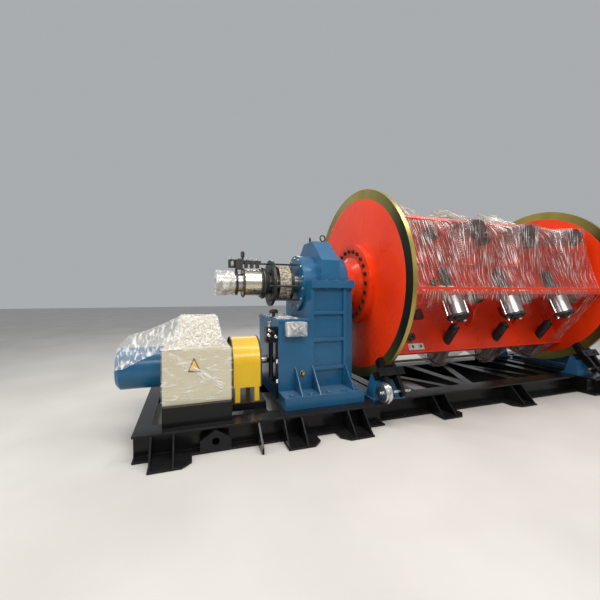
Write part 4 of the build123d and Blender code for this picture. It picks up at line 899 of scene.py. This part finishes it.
plate_dark = metal("plate_rim", (0.02, 0.018, 0.015), (0.05, 0.045, 0.04), (0.4, 0.6), metallic=0.1)
plate_yellow = metal("plate_face", (0.72, 0.42, 0.02), (0.80, 0.50, 0.04), (0.35, 0.5), scale=25,
                     metallic=0.0)
wall_y, corner_cut, corner_inset, face_inset = -0.650, 0.10, 0.07, 0.985
corners = [Vector((head_x - 1.809, 0, 0.731)), Vector((head_x - 1.856, 0, 0.621)),
           Vector((head_x - 1.755, 0, 0.612))]
middle = (corners[0] + corners[1] + corners[2]) / 3
for name, size, front, finish in (("plate_back", 1.06, -0.6525, plate_dark),
                                  ("plate_front", 0.78, -0.6532, plate_yellow)):
    rim_shape = []
    for a, b, c in ((2, 0, 1), (0, 1, 2), (1, 2, 0)):
        rim_shape += [corners[b].lerp(corners[a], corner_cut), corners[b].lerp(middle, corner_inset),
                      corners[b].lerp(corners[c], corner_cut)]
    plate = bmesh.new()
    rims = []
    for depth, shrink in ((wall_y, 1.0), (front, 1.0), (front - 0.0002, face_inset)):
        rim = [middle + (spot - middle) * size * shrink for spot in rim_shape]
        rims.append([plate.verts.new(Vector((spot.x, depth, spot.z))) for spot in rim])
    join_rings(plate, rims)
    plate.faces.new(rims[-1])
    piece(name, plate, finish, "base", 20)

# Packing on the shaft's nose: crumpled white film, wound by hand over the ground end face and
# journal to keep rust off them.

packing_finish = film("packing_film", along=17.0, across=17.0, haze=0.80, streaks=1.0,
                      edge=(0.42, 0.60), tone=(0.46, 0.46, 0.45), bright=(0.78, 0.77, 0.73),
                      gloss=(0.36, 0.55))
nose_end, face_radius, nose_radius = -1.5835, 0.060, 0.1215
face_step, nose_step, nose_taper = 0.011, 0.009, 0.0003


def sleeve(profile, sides):
    """Rows of points of a wrap round the shaft, from (X, radius) steps."""
    rows = []
    for x, radius in profile:
        row = [Vector(round_axis(x, radius, 2 * pi * i / sides)) for i in range(sides)]
        rows.append(row + [row[0].copy()])
    return rows


end_face = [(nose_end, face_radius + face_step * i) for i in range(5)]
journal = [(nose_end + nose_step * i, nose_radius - nose_taper * i) for i in range(21)]
nose = skin(sleeve(end_face + journal, sides=72))
crumple(nose, (head_x - 1.49, 0, axis_height), depth=0.013, scale=26, shift=3.0)
nose_film = piece("nose_film", nose, packing_finish, "cage", sharp=60)

# Film round the cover drum: yellowed packing film, wound round the blackened drum and crumpled. It
# turns with the shaft.

drum_film_finish = film("drum_film", along=40.0, across=40.0, haze=0.80, streaks=1.0,
                        edge=(0.42, 0.60), tone=(0.26, 0.22, 0.15), bright=(0.60, 0.55, 0.42),
                        gloss=(0.4, 0.6))
drum_start, drum_radius, drum_step = -0.948, 0.1825, 0.0075
drum = skin(sleeve([(drum_start + drum_step * i, drum_radius) for i in range(17)], sides=96))
crumple(drum, (head_x - 0.87, 0, axis_height), depth=0.007, scale=30, shift=5.0)
drum_film = piece("drum_film", drum, drum_film_finish, "cage", sharp=60)

# Film on the speed gearbox's lid: a loose white sheet of the same packing, laid over the lid's front
# part and crumpled.

lid_steps, lid_bulge, step_x, step_y = 24, 0.022, 0.009, 0.011
lid_corner = (-1.035, -0.41, 1.0025)
rows = []
for j in range(lid_steps + 1):
    row = []
    for i in range(lid_steps + 1):
        wave = abs(noise.noise(Vector((i * 0.3, j * 0.3, 2))) + 0.6)
        bulge = lid_bulge * sin(pi * i / lid_steps) * sin(pi * j / lid_steps) * wave
        row.append(Vector((head_x + lid_corner[0] + step_x * i, lid_corner[1] + step_y * j,
                           lid_corner[2] + bulge)))
    rows.append(row)
lid = skin(rows)
crumple(lid, (head_x - 0.93, -0.28, 0.9), depth=0.012, scale=34, shift=8.0)
lid_film = piece("lid_film", lid, packing_finish, "base", sharp=60)

# Film round the junction box: the same packing, stretched over the box's front and folded back
# round its four sides.

box_low, box_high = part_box("junction_box")
front_gap, side_gap, box_steps = 0.004, -0.004, 10
rows = []
for inset, y in ((0.0595, box_low.y - front_gap), (0.02, box_low.y - front_gap),
                 (side_gap, box_low.y - front_gap), (side_gap, box_low.y + 0.02),
                 (side_gap, box_low.y + 0.045), (side_gap, box_high.y - front_gap)):
    x0, x1, z0, z1 = box_low.x + inset, box_high.x - inset, box_low.z + inset, box_high.z - inset
    edge = [(x0, z0), (x1, z0), (x1, z1), (x0, z1), (x0, z0)]
    row = []
    for (ax, az), (bx, bz) in zip(edge, edge[1:]):
        row += [Vector((ax + (bx - ax) * i / box_steps, y, az + (bz - az) * i / box_steps))
                for i in range(box_steps)]
    rows.append(row + [row[0].copy()])
fine = []
for first, last in zip(rows, rows[1:]):
    fine += between(first, last, 4)
wrap = skin(fine + [rows[-1]])
crumple(wrap, (box_low + box_high) / 2, depth=0.006, scale=40, shift=2.0)
box_film = piece("box_film", wrap, packing_finish, "base", sharp=60)
